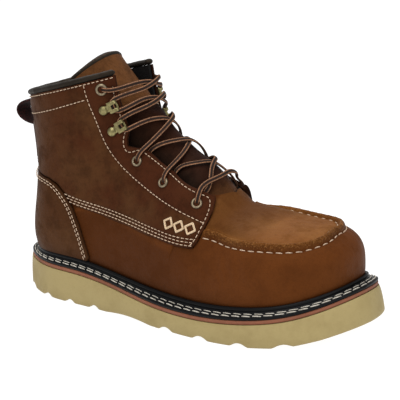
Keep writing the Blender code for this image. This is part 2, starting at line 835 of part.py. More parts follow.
def make_collar():
    """Padded roll on the top edge, from one throat corner round the back to the other."""
    shares = np.linspace(0.0, 1.0, COLLAR_STEPS)
    station = fan(COLLAR_STATION)
    slope = math.radians(-COLLAR_STATION)
    rise = np.array([-math.cos(slope), 0.0, math.sin(slope)])
    halves = []
    for side in (-1, 1):
        top = float(turn_at(np.array([station]), line_depth(THROAT_EDGE, station, side), side)[0])
        turn = top * (1.0 - shares)
        halves.append(form(np.full_like(turn, station), turn, side))
    path = np.concatenate([halves[0], halves[1][-2::-1]])
    facing = outward(path)
    across = unit(facing - (facing @ rise)[:, None] * rise)
    path = path + rise * (COLLAR_RISE + GAP) - across * COLLAR_SET_IN
    up = np.broadcast_to(rise, path.shape)
    points, faces = tube(path, across, up, COLLAR_HALF, COLLAR_RISE, COLLAR_SIDES)
    keep("collar", points, faces, "black")


def make_tongue():
    stations = fan(TONGUE_SECTIONS)
    at = fan(table(TONGUE_COLUMNS, TONGUE, "station"))
    edge = np.interp(stations, at, table(TONGUE_COLUMNS, TONGUE, "edge_turn"))
    lean = np.interp(stations, at, table(TONGUE_COLUMNS, TONGUE, "lean"))
    share = np.linspace(0.0, 1.0, TONGUE_ROWS)[:, None]
    round_from = fan(TONGUE_ROUND_FROM)

    def make(side):
        turn = edge + (1.0 - edge) * share
        near_top = np.clip((round_from - stations) / (round_from - fan(TONGUE_TOP)), 0.0, 1.0)
        station = stations - fan(-TONGUE_DROP) * near_top * (1.0 - share) ** TONGUE_ROUND
        skin = form(station, turn, side)
        ray = unit((skin - (PIVOT_X, 0.0, PIVOT_Z)) * (1.0, 0.0, 1.0))
        back = ray * lean[:, None]
        sunk = np.full(turn.shape, -TONGUE_SINK)
        return lifted(skin, sunk) + back, lifted(skin, sunk - TONGUE_THICK) + back

    sheet_solid("tongue", *both_sides(make), "brown")


def make_pull_loop():
    back_x = form(fan(LOOP_STATION), 0.0, -1)[0] - PANEL_LIFT - GAP - LOOP_SEAT
    turns = np.linspace(0.5 * math.pi, 1.5 * math.pi, LOOP_STEPS)
    middle_z = 0.5 * (LOOP_TOP_Z + LOOP_LOW_Z)
    half = 0.5 * (LOOP_TOP_Z - LOOP_LOW_Z)
    x = back_x - LOOP_ROOT + (LOOP_REACH - LOOP_ROOT) * np.cos(turns)
    z = middle_z + half * np.sin(turns)
    x = np.concatenate([[back_x], x, [back_x - LOOP_END_BACK]])
    z = np.concatenate([[LOOP_TOP_Z], z, [LOOP_LOW_Z]])
    path = np.stack([x, np.zeros_like(x), z], -1)
    ahead = unit(np.gradient(path, axis=0))
    aside = np.array([0.0, 1.0, 0.0])
    normal = np.cross(ahead, aside)
    shares = np.linspace(-1.0, 1.0, 3)[:, None, None]
    outer = path + aside * LOOP_HALF * shares
    inner = outer + normal * LOOP_THICK
    faces = grid_faces(3, len(path))
    sheet_solid("pull_loop", outer.reshape(-1, 3), inner.reshape(-1, 3), faces, "webbing")


def fitting_place(station, depth, side):
    """Point on the form, outward normal and the direction up to the throat's edge."""
    at = np.array([float(fan(station))])
    turn = turn_at(at, depth + medial_set(at, side), side)
    point = form(at, turn, side)
    ahead = form(at, turn + TURN_STEP, side) - point
    normal = outward(point)[0]
    ahead = unit(ahead[0] - normal * np.dot(ahead[0], normal))
    return point[0], normal, ahead


def make_eyelet(name, point, normal, ahead):
    turns = np.linspace(0.0, 2.0 * math.pi, EYELET_SIDES, endpoint=False)
    aside = np.cross(normal, ahead)
    circle = np.cos(turns)[:, None] * ahead + np.sin(turns)[:, None] * aside
    base = point + normal * (PANEL_LIFT + GAP + FITTING_SEAT)
    loops = [
        base + circle * EYELET_HOLE,
        base + circle * EYELET_OUTER,
        base + circle * (EYELET_OUTER - EYELET_BEVEL) + normal * EYELET_SHOULDER * EYELET_THICK,
        base + circle * 0.5 * (EYELET_OUTER + EYELET_HOLE) + normal * EYELET_THICK,
        base + circle * EYELET_HOLE + normal * EYELET_SHOULDER * EYELET_THICK,
    ]
    ring(name, loops, "brass")


def make_hook(name, point, normal, ahead):
    along = table(HOOK_COLUMNS, HOOK, "ahead")[:, None]
    rise = table(HOOK_COLUMNS, HOOK, "rise")[:, None]
    wide = table(HOOK_COLUMNS, HOOK, "half_width")
    aside = np.cross(normal, ahead)
    path = point + ahead * along + normal * (PANEL_LIFT + GAP + FITTING_SEAT + rise)
    facing = unit(np.cross(np.gradient(path, axis=0), aside))
    shares = np.linspace(-1.0, 1.0, 3)[:, None, None]
    low = path + aside * wide[:, None] * shares
    high = low + facing * HOOK_THICK
    faces = grid_faces(3, len(path))
    sheet_solid(name, high.reshape(-1, 3), low.reshape(-1, 3), faces, "brass")


def lace_end(name, side, over):
    """Station, signed turn from the ridge and lift where a strand comes over a fitting or from under it."""
    row = next(row for row in FITTINGS if row[0] == name)
    station, depth, lift = row[1], row[2], LACE_OVER_LIFT
    if name.startswith("hook"):
        station += -HOOK_TURN if over else HOOK_TURN
        depth -= HOOK_REACH
        lift = LACE_HOOK_LIFT
    elif not over:
        depth = float(np.interp(station, *np.transpose(THROAT_EDGE))) - LACE_UNDER_REACH
        lift = LACE_UNDER_LIFT
    at = np.array([float(fan(station))])
    depth = depth + medial_set(at, side)
    return at[0], side * (1.0 - float(turn_at(at, depth * np.ones(1), side)[0])), lift


def strand(start, end, middle_lift=LACE_LIFT):
    """One strand over the tongue, from a fitting on one side to a fitting on the other."""
    first = lace_end(*start)
    last = lace_end(*end)
    share = np.linspace(0.0, 1.0, LACE_STEPS)
    station, aside, lift = (a + (b - a) * share for a, b in zip(first, last))
    turn = 1.0 - np.abs(aside)
    skin = np.where((aside < 0.0)[:, None], form(station, turn, -1), form(station, turn, 1))
    path = lifted(skin, lift + (middle_lift - lift) * np.sin(math.pi * share) ** 2)
    ahead = unit(np.gradient(path, axis=0))
    across = unit(np.cross(outward(path), ahead))
    up = unit(np.cross(ahead, across))
    return tube(path, across, up, LACE_HALF_WIDE, LACE_HALF_THICK, LACE_SIDES)


def make_fittings():
    for side, word in ((-1, "lateral"), (1, "medial")):
        for name, station, depth in FITTINGS:
            place = fitting_place(station, depth, side)
            if name.startswith("eyelet"):
                make_eyelet(name + "_" + word, *place)
            else:
                make_hook(name + "_" + word, *place)


def material(name):
    colour, roughness, metallic = LOOKS[name]
    made = bpy.data.materials.new(name)
    made.use_nodes = True
    shader = made.node_tree.nodes["Principled BSDF"]
    shader.inputs["Base Color"].default_value = colour
    shader.inputs["Roughness"].default_value = roughness
    shader.inputs["Metallic"].default_value = metallic
    return made


def add_object(name, points, faces, middle, paint):
    mesh = bpy.data.meshes.new(name)
    mesh.from_pydata(((points - middle) * MM).tolist(), [], [list(face) for face in faces])
    shape = bmesh.new()
    shape.from_mesh(mesh)
    bmesh.ops.triangulate(shape, faces=shape.faces[:])
    bmesh.ops.recalc_face_normals(shape, faces=shape.faces[:])
    shape.to_mesh(mesh)
    shape.free()
    mesh.shade_smooth()
    mesh.set_sharp_from_angle(angle=math.radians(SHARP_ANGLE))
    mesh.materials.append(paint)
    made = bpy.data.objects.new(name, mesh)
    bpy.context.scene.collection.objects.link(made)
    return made


def make_lace(middle, paint):
    """A bar across the lowest eyelets, then crossings of two strands joined over the tongue."""
    lowest = CROSSINGS[0][1]
    add_object("lace_bar", *strand((lowest, -1, True), (lowest, 1, True), LACE_BAR_LIFT), middle, paint)
    highest = CROSSINGS[-1][2]
    for name, low, high in CROSSINGS:
        starts_over = low != lowest
        ends_over = high == highest
        first = add_object(name, *strand((low, -1, starts_over), (high, 1, ends_over)), middle, paint)
        mirrored = strand((low, 1, starts_over), (high, -1, ends_over))
        second = add_object(name + "_other", *mirrored, middle, paint)
        second.hide_render = True
        second.display_type = "WIRE"
        join = first.modifiers.new("join", "BOOLEAN")
        join.operation = "UNION"
        join.solver = "EXACT"
        join.object = second


def main():
    for old in list(bpy.data.objects):
        bpy.data.objects.remove(old, do_unlink=True)
    make_sole()
    make_upper()
    make_quarters()
    make_counter()
    make_collar()
    make_tongue()
    make_pull_loop()
    make_fittings()
    every = np.concatenate([points for _, points, _, _ in SOLIDS])
    middle = 0.5 * (every.min(axis=0) + every.max(axis=0))
    middle[2] = every[:, 2].min()
    paints = {name: material(name) for name in LOOKS}
    for name, points, faces, look in SOLIDS:
        add_object(name, points, faces, middle, paints[look])
    make_lace(middle, paints["cord"])


main()
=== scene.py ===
"""Looks of a moc toe work boot for the right foot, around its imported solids.

The upper's form, the sole's plan and the pattern lines repeat the part's own sizes, in millimetres;
place() brings them into the frame. Every panel, stitch, eyelet and lace lies on that form.
"""
import math

import bmesh
import bpy
import numpy as np
from mathutils import Matrix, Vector
from mathutils.kdtree import KDTree


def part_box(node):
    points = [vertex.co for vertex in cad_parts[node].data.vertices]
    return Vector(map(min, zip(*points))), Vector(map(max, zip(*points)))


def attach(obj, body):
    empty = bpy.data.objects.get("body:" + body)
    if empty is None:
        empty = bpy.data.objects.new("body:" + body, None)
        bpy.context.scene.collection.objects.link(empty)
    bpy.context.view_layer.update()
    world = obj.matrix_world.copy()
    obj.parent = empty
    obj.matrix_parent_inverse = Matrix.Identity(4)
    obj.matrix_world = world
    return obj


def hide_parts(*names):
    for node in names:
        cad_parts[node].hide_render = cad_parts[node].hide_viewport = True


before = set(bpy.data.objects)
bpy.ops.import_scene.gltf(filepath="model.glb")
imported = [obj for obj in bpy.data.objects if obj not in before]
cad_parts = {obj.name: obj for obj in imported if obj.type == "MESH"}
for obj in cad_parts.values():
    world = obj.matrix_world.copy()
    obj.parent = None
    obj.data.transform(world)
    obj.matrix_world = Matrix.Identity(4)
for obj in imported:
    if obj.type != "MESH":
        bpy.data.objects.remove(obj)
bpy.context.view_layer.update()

MM = 0.001
SIDE_WORDS = {-1: "lateral", 1: "medial"}
SIDES = tuple(SIDE_WORDS)
TINY = 1e-12

# Section planes of the upper. Behind the ball they fan about a pivot line that runs across the
# boot above the ball; ahead of it they stand upright; round the toe they turn about an upright axis.
PIVOT_X = 58.0
PIVOT_Z = 205.0
FAN_STEP = 2.0
TOE_AXIS_X = 80.0
TOE_LENGTH = 58.6
TOE_SQUARE = 2.25
TOE_STEP = 0.9
TOE_START = TOE_AXIS_X - PIVOT_X
TOE_END = TOE_START + 90.0 * TOE_STEP

# Rows behind the ball: station = degrees of the fan, negative; ahead of it: mm in front of the pivot.
# top, bottom: distances from the pivot's height; widest: share of the section, from the bottom up.
SECTION_COLUMNS = ("station", "top", "bottom", "widest", "lateral", "medial",
                   "round_top", "round_medial", "round_low", "swing")
SECTIONS = (
    (-88.0, 97.0, 199.0, 0.50, 37.0, 36.5, 2.20, 2.20, 2.10, 0.0),
    (-76.0, 96.5, 202.5, 0.46, 36.5, 36.0, 2.20, 2.20, 2.10, 0.0),
    (-66.0, 96.5, 209.5, 0.38, 36.0, 35.5, 2.20, 2.20, 2.10, 0.0),
    (-60.0, 96.5, 219.0, 0.33, 36.0, 35.5, 2.15, 2.15, 2.10, 0.0),
    (-54.5, 96.5, 236.3, 0.30, 36.5, 36.0, 2.12, 2.12, 2.15, 0.0),
    (-48.0, 96.5, 257.7, 0.27, 37.0, 36.0, 2.10, 2.10, 2.40, 0.0),
    (-40.0, 96.3, 244.0, 0.28, 37.5, 36.0, 2.10, 2.05, 2.80, 0.0),
    (-30.0, 96.0, 220.5, 0.31, 41.5, 36.5, 2.10, 1.95, 3.00, 0.0),
    (-16.0, 101.0, 204.0, 0.33, 47.5, 40.5, 2.10, 1.75, 3.00, 0.0),
    (-9.0, 110.5, 200.5, 0.34, 49.8, 43.4, 1.85, 1.65, 3.00, 0.0),
    (-5.0, 117.0, 199.0, 0.35, 50.6, 45.0, 1.90, 1.75, 3.00, 0.0),
    (0.0, 121.0, 197.0, 0.36, 51.2, 46.5, 2.20, 2.30, 3.00, 0.0),
    (22.0, 126.8, 194.0, 0.38, 51.0, 48.0, 3.20, 3.20, 3.00, 0.5),
    (50.0, 127.2, 187.0, 0.38, 51.0, 48.0, 3.20, 3.20, 3.00, 2.0),
    (86.0, 125.5, 177.0, 0.40, 51.0, 48.0, 3.20, 3.20, 3.00, 3.5),
)


def table(columns, rows, name):
    """One column of a table."""
    index = columns.index(name)
    return np.array([row[index] for row in rows])


def unit(vector):
    vector = np.asarray(vector, float)
    return vector / np.maximum(np.linalg.norm(vector, axis=-1, keepdims=True), TINY)


def ramp(low, high, value):
    """Share of the way from low to high, held between 0 and 1."""
    return np.clip((np.asarray(value, float) - low) / (high - low), 0.0, 1.0)


def smoothstep(low, high, value):
    share = ramp(low, high, value)
    return share * share * (3.0 - 2.0 * share)


def spline(knots, values, at):
    """Natural cubic spline through a table's column."""
    knots = np.asarray(knots, float)
    values = np.asarray(values, float)
    gap = np.diff(knots)
    slope = np.diff(values) / gap
    count = len(knots)
    matrix = np.eye(count)
    right = np.zeros(count)
    for i in range(1, count - 1):
        matrix[i, i - 1:i + 2] = gap[i - 1], 2.0 * (gap[i - 1] + gap[i]), gap[i]
        right[i] = 6.0 * (slope[i] - slope[i - 1])
    bend = np.linalg.solve(matrix, right)
    at = np.clip(np.asarray(at, float), knots[0], knots[-1])
    cell = np.clip(np.searchsorted(knots, at) - 1, 0, count - 2)
    width = gap[cell]
    before = at - knots[cell]
    after = knots[cell + 1] - at
    cubic = (bend[cell] * after ** 3 + bend[cell + 1] * before ** 3) / (6.0 * width)
    low = (values[cell] / width - bend[cell] * width / 6.0) * after
    high = (values[cell + 1] / width - bend[cell + 1] * width / 6.0) * before
    return cubic + low + high


def fan(station):
    """Station in mm from degrees behind the ball, or mm ahead of it."""
    station = np.asarray(station, float)
    return np.where(station < 0.0, station * FAN_STEP, station)


def at_station(station):
    """One station as a list in mm."""
    return np.array([float(fan(station))])


SECTION_AT = fan(table(SECTION_COLUMNS, SECTIONS, "station"))
NORMAL_STEP = 0.05


def column(name, station):
    return spline(SECTION_AT, table(SECTION_COLUMNS, SECTIONS, name), station)


def station_of(x, z):
    """Section plane and distance from the pivot of a point seen from the side."""
    ahead = x - PIVOT_X
    below = PIVOT_Z - z
    fan_at = -np.degrees(np.arctan2(-ahead, below)) * FAN_STEP
    rear = ahead < 0.0
    return np.where(rear, fan_at, ahead), np.where(rear, np.hypot(ahead, below), below)


def section_depths(station):
    """Depths of a section's top, bottom and widest place."""
    top = column("top", station)
    bottom = column("bottom", station)
    return top, bottom, bottom - column("widest", station) * (bottom - top)


def level(point):
    """1 on the outside of the upper, less inside it."""
    x, y, z = np.moveaxis(np.asarray(point, float), -1, 0)
    station, depth = station_of(x, z)
    top, bottom, middle = section_depths(station)
    aside = y - column("swing", station)
    wide = np.where(aside < 0.0, column("lateral", station), column("medial", station))
    ahead = np.maximum(x - TOE_AXIS_X, 0.0) / TOE_LENGTH
    across = ((np.abs(aside) / wide) ** TOE_SQUARE + ahead ** TOE_SQUARE) ** (1.0 / TOE_SQUARE)
    low = depth > middle
    share = np.where(low, (depth - middle) / (bottom - middle), (middle - depth) / (middle - top))
    round_top = np.where(aside < 0.0, column("round_top", station), column("round_medial", station))
    power = np.where(low, column("round_low", station), round_top)
    return (across ** power + np.maximum(share, 0.0) ** power) ** (1.0 / power)


def outward(point):
    """Unit normal of the upper's form."""
    point = np.asarray(point, float)
    return unit(np.stack([level(point + step) - level(point - step) for step in NORMAL_STEP * np.eye(3)], -1))


def form(station, turn, side):
    """Point of the upper: turn 0 = underneath or back seam, 1 = ridge; side -1 lateral, +1 medial."""
    station, turn = np.broadcast_arrays(np.asarray(station, float), np.asarray(turn, float))
    angle = turn * math.pi
    toe = station > TOE_START
    plan = np.radians(np.clip((TOE_END - station) / TOE_STEP, 0.0, 90.0))
    cos_plan = np.where(toe, np.cos(plan), 0.0) ** (2.0 / TOE_SQUARE)
    sin_plan = np.where(toe, np.sin(plan), 1.0) ** (2.0 / TOE_SQUARE)
    low = turn < 0.5
    held = np.minimum(station, TOE_START)
    round_top = column("round_top" if side < 0 else "round_medial", held)
    power = np.where(low, column("round_low", held), round_top)
    across = np.sin(angle) ** (2.0 / power)
    along_depth = np.abs(np.cos(angle)) ** (2.0 / power)
    here = np.where(toe, TOE_START + across * cos_plan * TOE_LENGTH, station)
    top, bottom, middle = section_depths(here)
    depth = np.where(low, middle + along_depth * (bottom - middle), middle - along_depth * (middle - top))
    y = column("swing", here) + side * across * sin_plan * column(SIDE_WORDS[side], here)
    swung = np.radians(np.minimum(here, 0.0) / FAN_STEP)
    x = PIVOT_X + np.where(here < 0.0, depth * np.sin(swung), here)
    z = PIVOT_Z - np.where(here < 0.0, depth * np.cos(swung), depth)
    return np.stack([x, y, z], -1)


# Plan of the sole: share of the length from the heel, and the edge's distance from the middle line.
SOLE_BACK = -152.0
SOLE_FRONT = 153.5
PLAN_COLUMNS = ("share", "lateral", "medial")
PLAN = (
    (0.0, 0.0, 0.0),
    (0.02, 17.0, 17.0),
    (0.06, 28.5, 28.5),
    (0.13, 39.4, 38.2),
    (0.24, 43.8, 41.8),
    (0.38, 47.8, 42.6),
    (0.52, 55.4, 46.0),
    (0.66, 59.4, 52.0),
    (0.78, 57.2, 54.6),
    (0.88, 49.0, 51.4),
    (0.95, 31.2, 40.4),
    (0.985, 14.5, 26.0),
    (1.0, -5.0, 5.0),
)


def plan_angle(share):
    return np.arccos(np.clip(1.0 - 2.0 * np.asarray(share, float), -1.0, 1.0))


def sole_edge(x, side):
    """Distance of the sole's edge from the middle line at x."""
    share = (np.asarray(x, float) - SOLE_BACK) / (SOLE_FRONT - SOLE_BACK)
    knots = plan_angle(table(PLAN_COLUMNS, PLAN, "share"))
    return spline(knots, table(PLAN_COLUMNS, PLAN, SIDE_WORDS[side]), plan_angle(share))


# Sizes that the part's solids have too, mm.
GAP = 0.3
WALL = 2.4
PANEL_GAP = 0.3
PANEL_LIFT = 2.0
PANEL_BED = 0.8
MIDSOLE_THICK = 2.8
WELT_THICK = 4.4
BEAD_RISE = 4.0
INSOLE_THICK = 3.0
INSOLE_LIFT = 0.2
SOLE_INSET = 1.2
TOE_FLARE = 3.0
WELT_INSET = 0.6
WELT_FIT = 0.6
INSOLE_FIT = 4.2
COLLAR_STATION = -74.9
COLLAR_RISE = 2.0
COLLAR_HALF = 3.1
TONGUE_THICK = 4.0
TONGUE_TOP = -82.6
TONGUE_DROP = 6.0
TONGUE_ROUND = 1.8
TONGUE_SINK = WALL + 0.9
LOOP_HALF = 8.0
LOOP_THICK = 1.8
LOOP_TOP_Z = 146.5
LOOP_LOW_Z = 126.5
LOOP_REACH = 21.0
LOOP_SEAT = 0.4
FITTING_SEAT = 0.25
LUG_DEPTH = 2.6
ARCH_RISE = 1.6
GROOVE_START = 0.25
HEEL_AXIS_X = -104.0
RAY_TOE_X = 84.0
MEDIAL_SET = 6.0
MEDIAL_FADE = (-14.0, -9.0)
FRONT_FROM = (-90.0, -24.0, -8.6)
FRONT_MEDIAL = (-90.0, -24.0, -10.1)
THROAT_OPEN = -11.3
THROAT_CLOSED = -7.4

# Heights along the sole: top of the wedge and the bottom it is cut from.
HEIGHT_COLUMNS = ("x", "wedge_top", "ground")
HEIGHTS = (
    (-152.0, 23.6, 1.5),
    (-138.0, 23.8, 0.0),
    (-110.0, 23.8, 0.0),
    (-75.0, 23.2, 0.0),
    (-40.0, 19.2, 0.0),
    (-10.0, 15.2, 0.0),
    (25.0, 13.4, 0.0),
    (60.0, 14.4, 0.0),
    (85.0, 17.0, 0.5),
    (110.0, 21.3, 3.0),
    (133.0, 28.2, 8.4),
    (153.5, 37.0, 14.8),
)

# Runs of lugs along the sole: first and last x and the pitch.
LUG_COLUMNS = ("first", "last", "pitch")
LUGS = (
    (-149.0, -49.0, 25.0),
    (-2.0, 127.2, 32.3),
)

# Pattern lines on the upper: station as in the sections, depth = distance from the pivot.
THROAT_EDGE = (
    (-76.5, 107.2), (-71.0, 108.7), (-59.5, 113.0), (-53.5, 116.5), (-51.5, 121.0), (-49.6, 123.5),
    (-47.6, 120.0), (-45.2, 115.2), (-42.7, 113.6), (-29.3, 109.0), (-15.7, 109.7), (THROAT_OPEN, 111.6),
)
QUARTER_TOP = THROAT_EDGE[:-1] + ((THROAT_OPEN, 112.4), (-10.2, 115.0), (-9.0, 120.6), (-8.5, 127.0))
QUARTER_LOW = (
    (-62.2, 216.2), (-60.5, 213.2), (-58.1, 204.9), (-55.8, 195.2), (-53.6, 190.9), (-50.7, 189.5),
    (-47.2, 189.0), (-41.1, 175.3), (-32.2, 161.0), (-21.6, 151.1), (-9.8, 145.4), (-9.0, 141.0),
    (-8.5, 132.0),
)
COUNTER_TOP = (
    (-62.0, 217.2), (-60.5, 214.6), (-58.1, 206.2), (-55.8, 196.5), (-53.6, 192.2), (-50.7, 190.8),
    (-47.2, 191.8), (-43.3, 196.6), (-38.3, 206.0), (-36.4, 211.0),
)
SEAM_LATERAL = (
    (-14.0, 134.5), (-6.2, 134.6), (2.3, 135.8), (22.0, 135.6),
    (45.0, 135.2), (60.0, 134.4), (77.0, 132.8), (103.0, 130.8),
)
SEAM_MEDIAL = (
    (-14.0, 131.0), (-6.2, 129.5), (2.3, 130.5), (22.0, 132.4),
    (45.0, 132.4), (60.0, 132.2), (77.0, 131.4), (103.0, 130.8),
)
EYESTAY_LINE = (
    (-74.4, 130.1), (-68.9, 131.3), (-62.3, 132.4), (-54.6, 135.4), (-47.8, 136.2),
    (-40.0, 133.5), (-25.7, 127.1), (-14.2, 126.4), (-9.6, 128.6),
)

# Eyelets and hook rivets on each side, from the throat's foot to the collar.
FITTINGS = (
    ("eyelet_1", -14.5, 117.8),
    ("eyelet_2", -29.7, 118.4),
    ("eyelet_3", -43.3, 124.3),
    ("hook_1", -56.6, 122.5),
    ("hook_2", -64.2, 120.0),
    ("eyelet_4", -71.2, 118.8),
)

# Tongue from its top to its foot: where its sides end and how far it leans back, mm.
TONGUE_COLUMNS = ("station", "edge_turn", "lean")
TONGUE = (
    (-86.0, 0.69, 31.0),
    (-76.0, 0.67, 19.5),
    (-66.0, 0.65, 8.8),
    (-55.0, 0.68, 1.5),
    (-40.0, 0.71, 0.0),
    (-20.0, 0.73, 0.0),
    (2.0, 0.76, 0.2),
)

# The frame's origin lies in the middle of the boot's box; these bring the sizes above to it.
LOOP_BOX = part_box("pull_loop")
SOLE_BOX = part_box("outsole")
MIDDLE = np.array([SOLE_BACK - SOLE_BOX[0][0] / MM, -0.5 * (LOOP_BOX[0][1] + LOOP_BOX[1][1]) / MM, 0.0])


def place(points):
    """Points in the frame, metres, from the boot's own sizes."""
    return (np.asarray(points, float) - MIDDLE) * MM


def medial_set(station, side):
    """How much deeper the throat's edge and fittings sit on the medial side."""
    if side < 0:
        return 0.0
    return np.interp(station, fan(MEDIAL_FADE), (MEDIAL_SET, 0.0))


def quarter_place(stations, side):
    """Stations of a quarter's sections; the medial quarter's front lies further back."""
    if side < 0:
        return stations
    return np.interp(stations, fan(FRONT_FROM), fan(FRONT_MEDIAL))


def line_table(line):
    """Stations in mm and depths of a pattern line."""
    station, depth = np.array(line).T
    return fan(station), depth


def line_depth(line, station, side=-1):
    """Depth of a pattern line at stations in mm."""
    return np.interp(station, *line_table(line)) + medial_set(station, side)


# Searches by halving: how often, and the largest turn and distance they start from.
TURN_HALVINGS = 30
RAY_HALVINGS = 40
FOOT_TURN_MOST = 0.9
RAY_LONGEST = 90.0
NO_TURN = 1e-6


def halve(low, high, held, times):
    """Last value between low and high at which held(value) is still true."""
    for _ in range(times):
        middle = 0.5 * (low + high)
        kept = held(middle)
        low = np.where(kept, middle, low)
        high = np.where(kept, high, middle)
    return low


def turn_at(station, depth, side):
    """Turn where the section reaches a depth; 0 where the depth lies below the section."""
    def deeper(turn):
        return depth_of(form(station, turn, side)) > depth

    return halve(np.zeros_like(station), np.ones_like(station), deeper, TURN_HALVINGS)


def line_turn(line, station, side):
    """Turn at which each section meets a pattern line."""
    return turn_at(station, line_depth(line, station, side), side)


def lower_turn(station, side, height):
    """Turn at which each section stands at height(x); 0 where it ends above it."""
    def under(turn):
        point = form(station, turn, side)
        return point[..., 2] < height(point[..., 0])

    low = halve(np.zeros_like(station), np.full_like(station, FOOT_TURN_MOST), under, TURN_HALVINGS)
    return np.where(low < NO_TURN, 0.0, low)


def upper_turn(station, side):
    """Turn of the upper's top: the throat's edge, or the ridge ahead of the throat."""
    share = ramp(fan(THROAT_OPEN), fan(THROAT_CLOSED), station)
    return 1.0 - (1.0 - line_turn(THROAT_EDGE, station, side)) * np.sqrt(1.0 - share ** 2)


def depth_of(points):
    return station_of(points[..., 0], points[..., 2])[1]


def lifted(point, lift):
    """Points moved out from the form by a lift, one for all or one each."""
    return point + outward(point) * np.asarray(lift, float)[..., None]


HEIGHT_AT = table(HEIGHT_COLUMNS, HEIGHTS, "x")


def wedge_top(x):
    return spline(HEIGHT_AT, table(HEIGHT_COLUMNS, HEIGHTS, "wedge_top"), x)


def ground(x):
    """Bottom of the wedge: toe spring, smooth arch and the grooves between the lugs."""
    x = np.asarray(x, float)
    base = np.interp(x, HEIGHT_AT, table(HEIGHT_COLUMNS, HEIGHTS, "ground"))
    heel_end = table(LUG_COLUMNS, LUGS, "last")[0]
    ball_start = table(LUG_COLUMNS, LUGS, "first")[1]
    base = base + ARCH_RISE * np.sin(math.pi * ramp(heel_end, ball_start, x))
    for first, last, pitch in LUGS:
        wave = -np.cos(2.0 * math.pi * (x - first) / pitch)
        base = base + np.where((x >= first) & (x <= last), LUG_DEPTH * ramp(GROOVE_START, 1.0, wave), 0.0)
    return base


def midsole_top(x):
    return wedge_top(x) + GAP + MIDSOLE_THICK


def feather(x):
    """Height of the upper's lower edge."""
    return midsole_top(x) + GAP


def welt_high(x):
    return feather(x) + WELT_THICK


def bead_top(x):
    return welt_high(x) + BEAD_RISE


def rim_rays(heel, sides, toe):
    """Rays in plan from a spine inside the boot: heel fan, sides, toe fan, once round."""
    back = np.radians(np.linspace(180.0, 90.0, heel, endpoint=False))
    front = np.radians(np.linspace(90.0, 0.0, toe + 1))
    middle = np.linspace(HEEL_AXIS_X, RAY_TOE_X, sides, endpoint=False)
    start = np.concatenate([np.full(heel, HEEL_AXIS_X), middle, np.full(toe + 1, RAY_TOE_X)])
    angle = np.concatenate([back, np.full(sides, math.pi / 2.0), front])
    start = np.concatenate([start, start[-2:0:-1]])
    sign = np.concatenate([np.full(len(angle), -1.0), np.full(len(angle) - 2, 1.0)])
    angle = np.concatenate([angle, angle[-2:0:-1]])
    return start, np.cos(angle), np.sin(angle) * sign


def reach(rays, inside):
    """Distance along each ray to where inside(x, y) ends."""
    start, ahead, across = rays

    def held(distance):
        return inside(start + ahead * distance, across * distance)

    return halve(np.zeros_like(start), np.full_like(start, RAY_LONGEST), held, RAY_HALVINGS)


def in_sole(x, y):
    edge = np.where(y < 0.0, sole_edge(x, -1), sole_edge(x, 1))
    return (x > SOLE_BACK) & (x < SOLE_FRONT) & (np.abs(y) < edge)


def in_form(height):
    def inside(x, y):
        return level(np.stack([x, y, height(x)], -1)) < 1.0
    return inside


def loop_at(rays, distance, height):
    """Points at a distance along each ray and at height(x)."""
    start, ahead, across = rays
    x = start + ahead * distance
    return np.stack([x, across * distance, height(x)], -1)


def srgb(red, green, blue):
    """Linear colour from screen values of 0 to 255."""
    values = np.array([red, green, blue]) / 255.0
    linear = np.where(values <= 0.04045, values / 12.92, ((values + 0.055) / 1.055) ** 2.4)
    return (*linear.tolist(), 1.0)


class Paint:
    """A material with short calls that add nodes to it."""

    def __init__(self, name, roughness=0.6, metallic=0.0, **sockets):
        self.material = bpy.data.materials.new(name)
        self.material.use_nodes = True
        self.tree = self.material.node_tree
        self.shader = self.tree.nodes["Principled BSDF"]
        self.set("Roughness", roughness)
        self.set("Metallic", metallic)
        for socket, value in sockets.items():
            self.set(socket.replace("_", " "), value)
        self.coords = self.add("ShaderNodeTexCoord").outputs["Object"]

    def feed(self, socket, value):
        """A link into a socket, or a constant on it."""
        if isinstance(value, bpy.types.NodeSocket):
            self.tree.links.new(value, socket)
        else:
            socket.default_value = value

    def set(self, socket, value):
        """A constant on the shader's own socket, or a link to it."""
        self.feed(self.shader.inputs[socket], value)

    def add(self, kind, inputs=None, **settings):
        made = self.tree.nodes.new(kind)
        for key, value in settings.items():
            setattr(made, key, value)
        for key, value in (inputs or {}).items():
            self.feed(made.inputs[key], value)
        return made

    def noise(self, scale, detail, roughness):
        inputs = {"Vector": self.coords, "Scale": scale, "Detail": detail, "Roughness": roughness}
        return self.add("ShaderNodeTexNoise", inputs).outputs["Fac"]

    def cells(self, scale):
        return self.add("ShaderNodeTexVoronoi", {"Vector": self.coords, "Scale": scale}).outputs["Distance"]

    def tone(self, name):
        return self.add("ShaderNodeAttribute", attribute_name=name).outputs["Fac"]

    def span(self, value, low, high, to_low=0.0, to_high=1.0):
        inputs = {"Value": value, "From Min": low, "From Max": high, "To Min": to_low, "To Max": to_high}
        return self.add("ShaderNodeMapRange", inputs, interpolation_type="SMOOTHSTEP").outputs["Result"]

    def times(self, a, b):
        return self.add("ShaderNodeMath", {0: a, 1: b}, operation="MULTIPLY").outputs["Value"]

    def mix(self, share, a, b):
        return self.add("ShaderNodeMix", {0: share, 6: a, 7: b}, data_type="RGBA").outputs[2]

    def bump(self, *layers):
        """Bumps on top of each other, each a height and its depth in metres."""
        normal = None
        for height, depth in layers:
            inputs = {"Height": height, "Distance": depth, "Strength": 1.0}
            if normal is not None:
                inputs["Normal"] = normal
            normal = self.add("ShaderNodeBump", inputs).outputs["Normal"]
        self.set("Normal", normal)


WAX = srgb(214, 166, 116)
CUT_CREST = srgb(150, 104, 58)
BLOTCH = 0.38


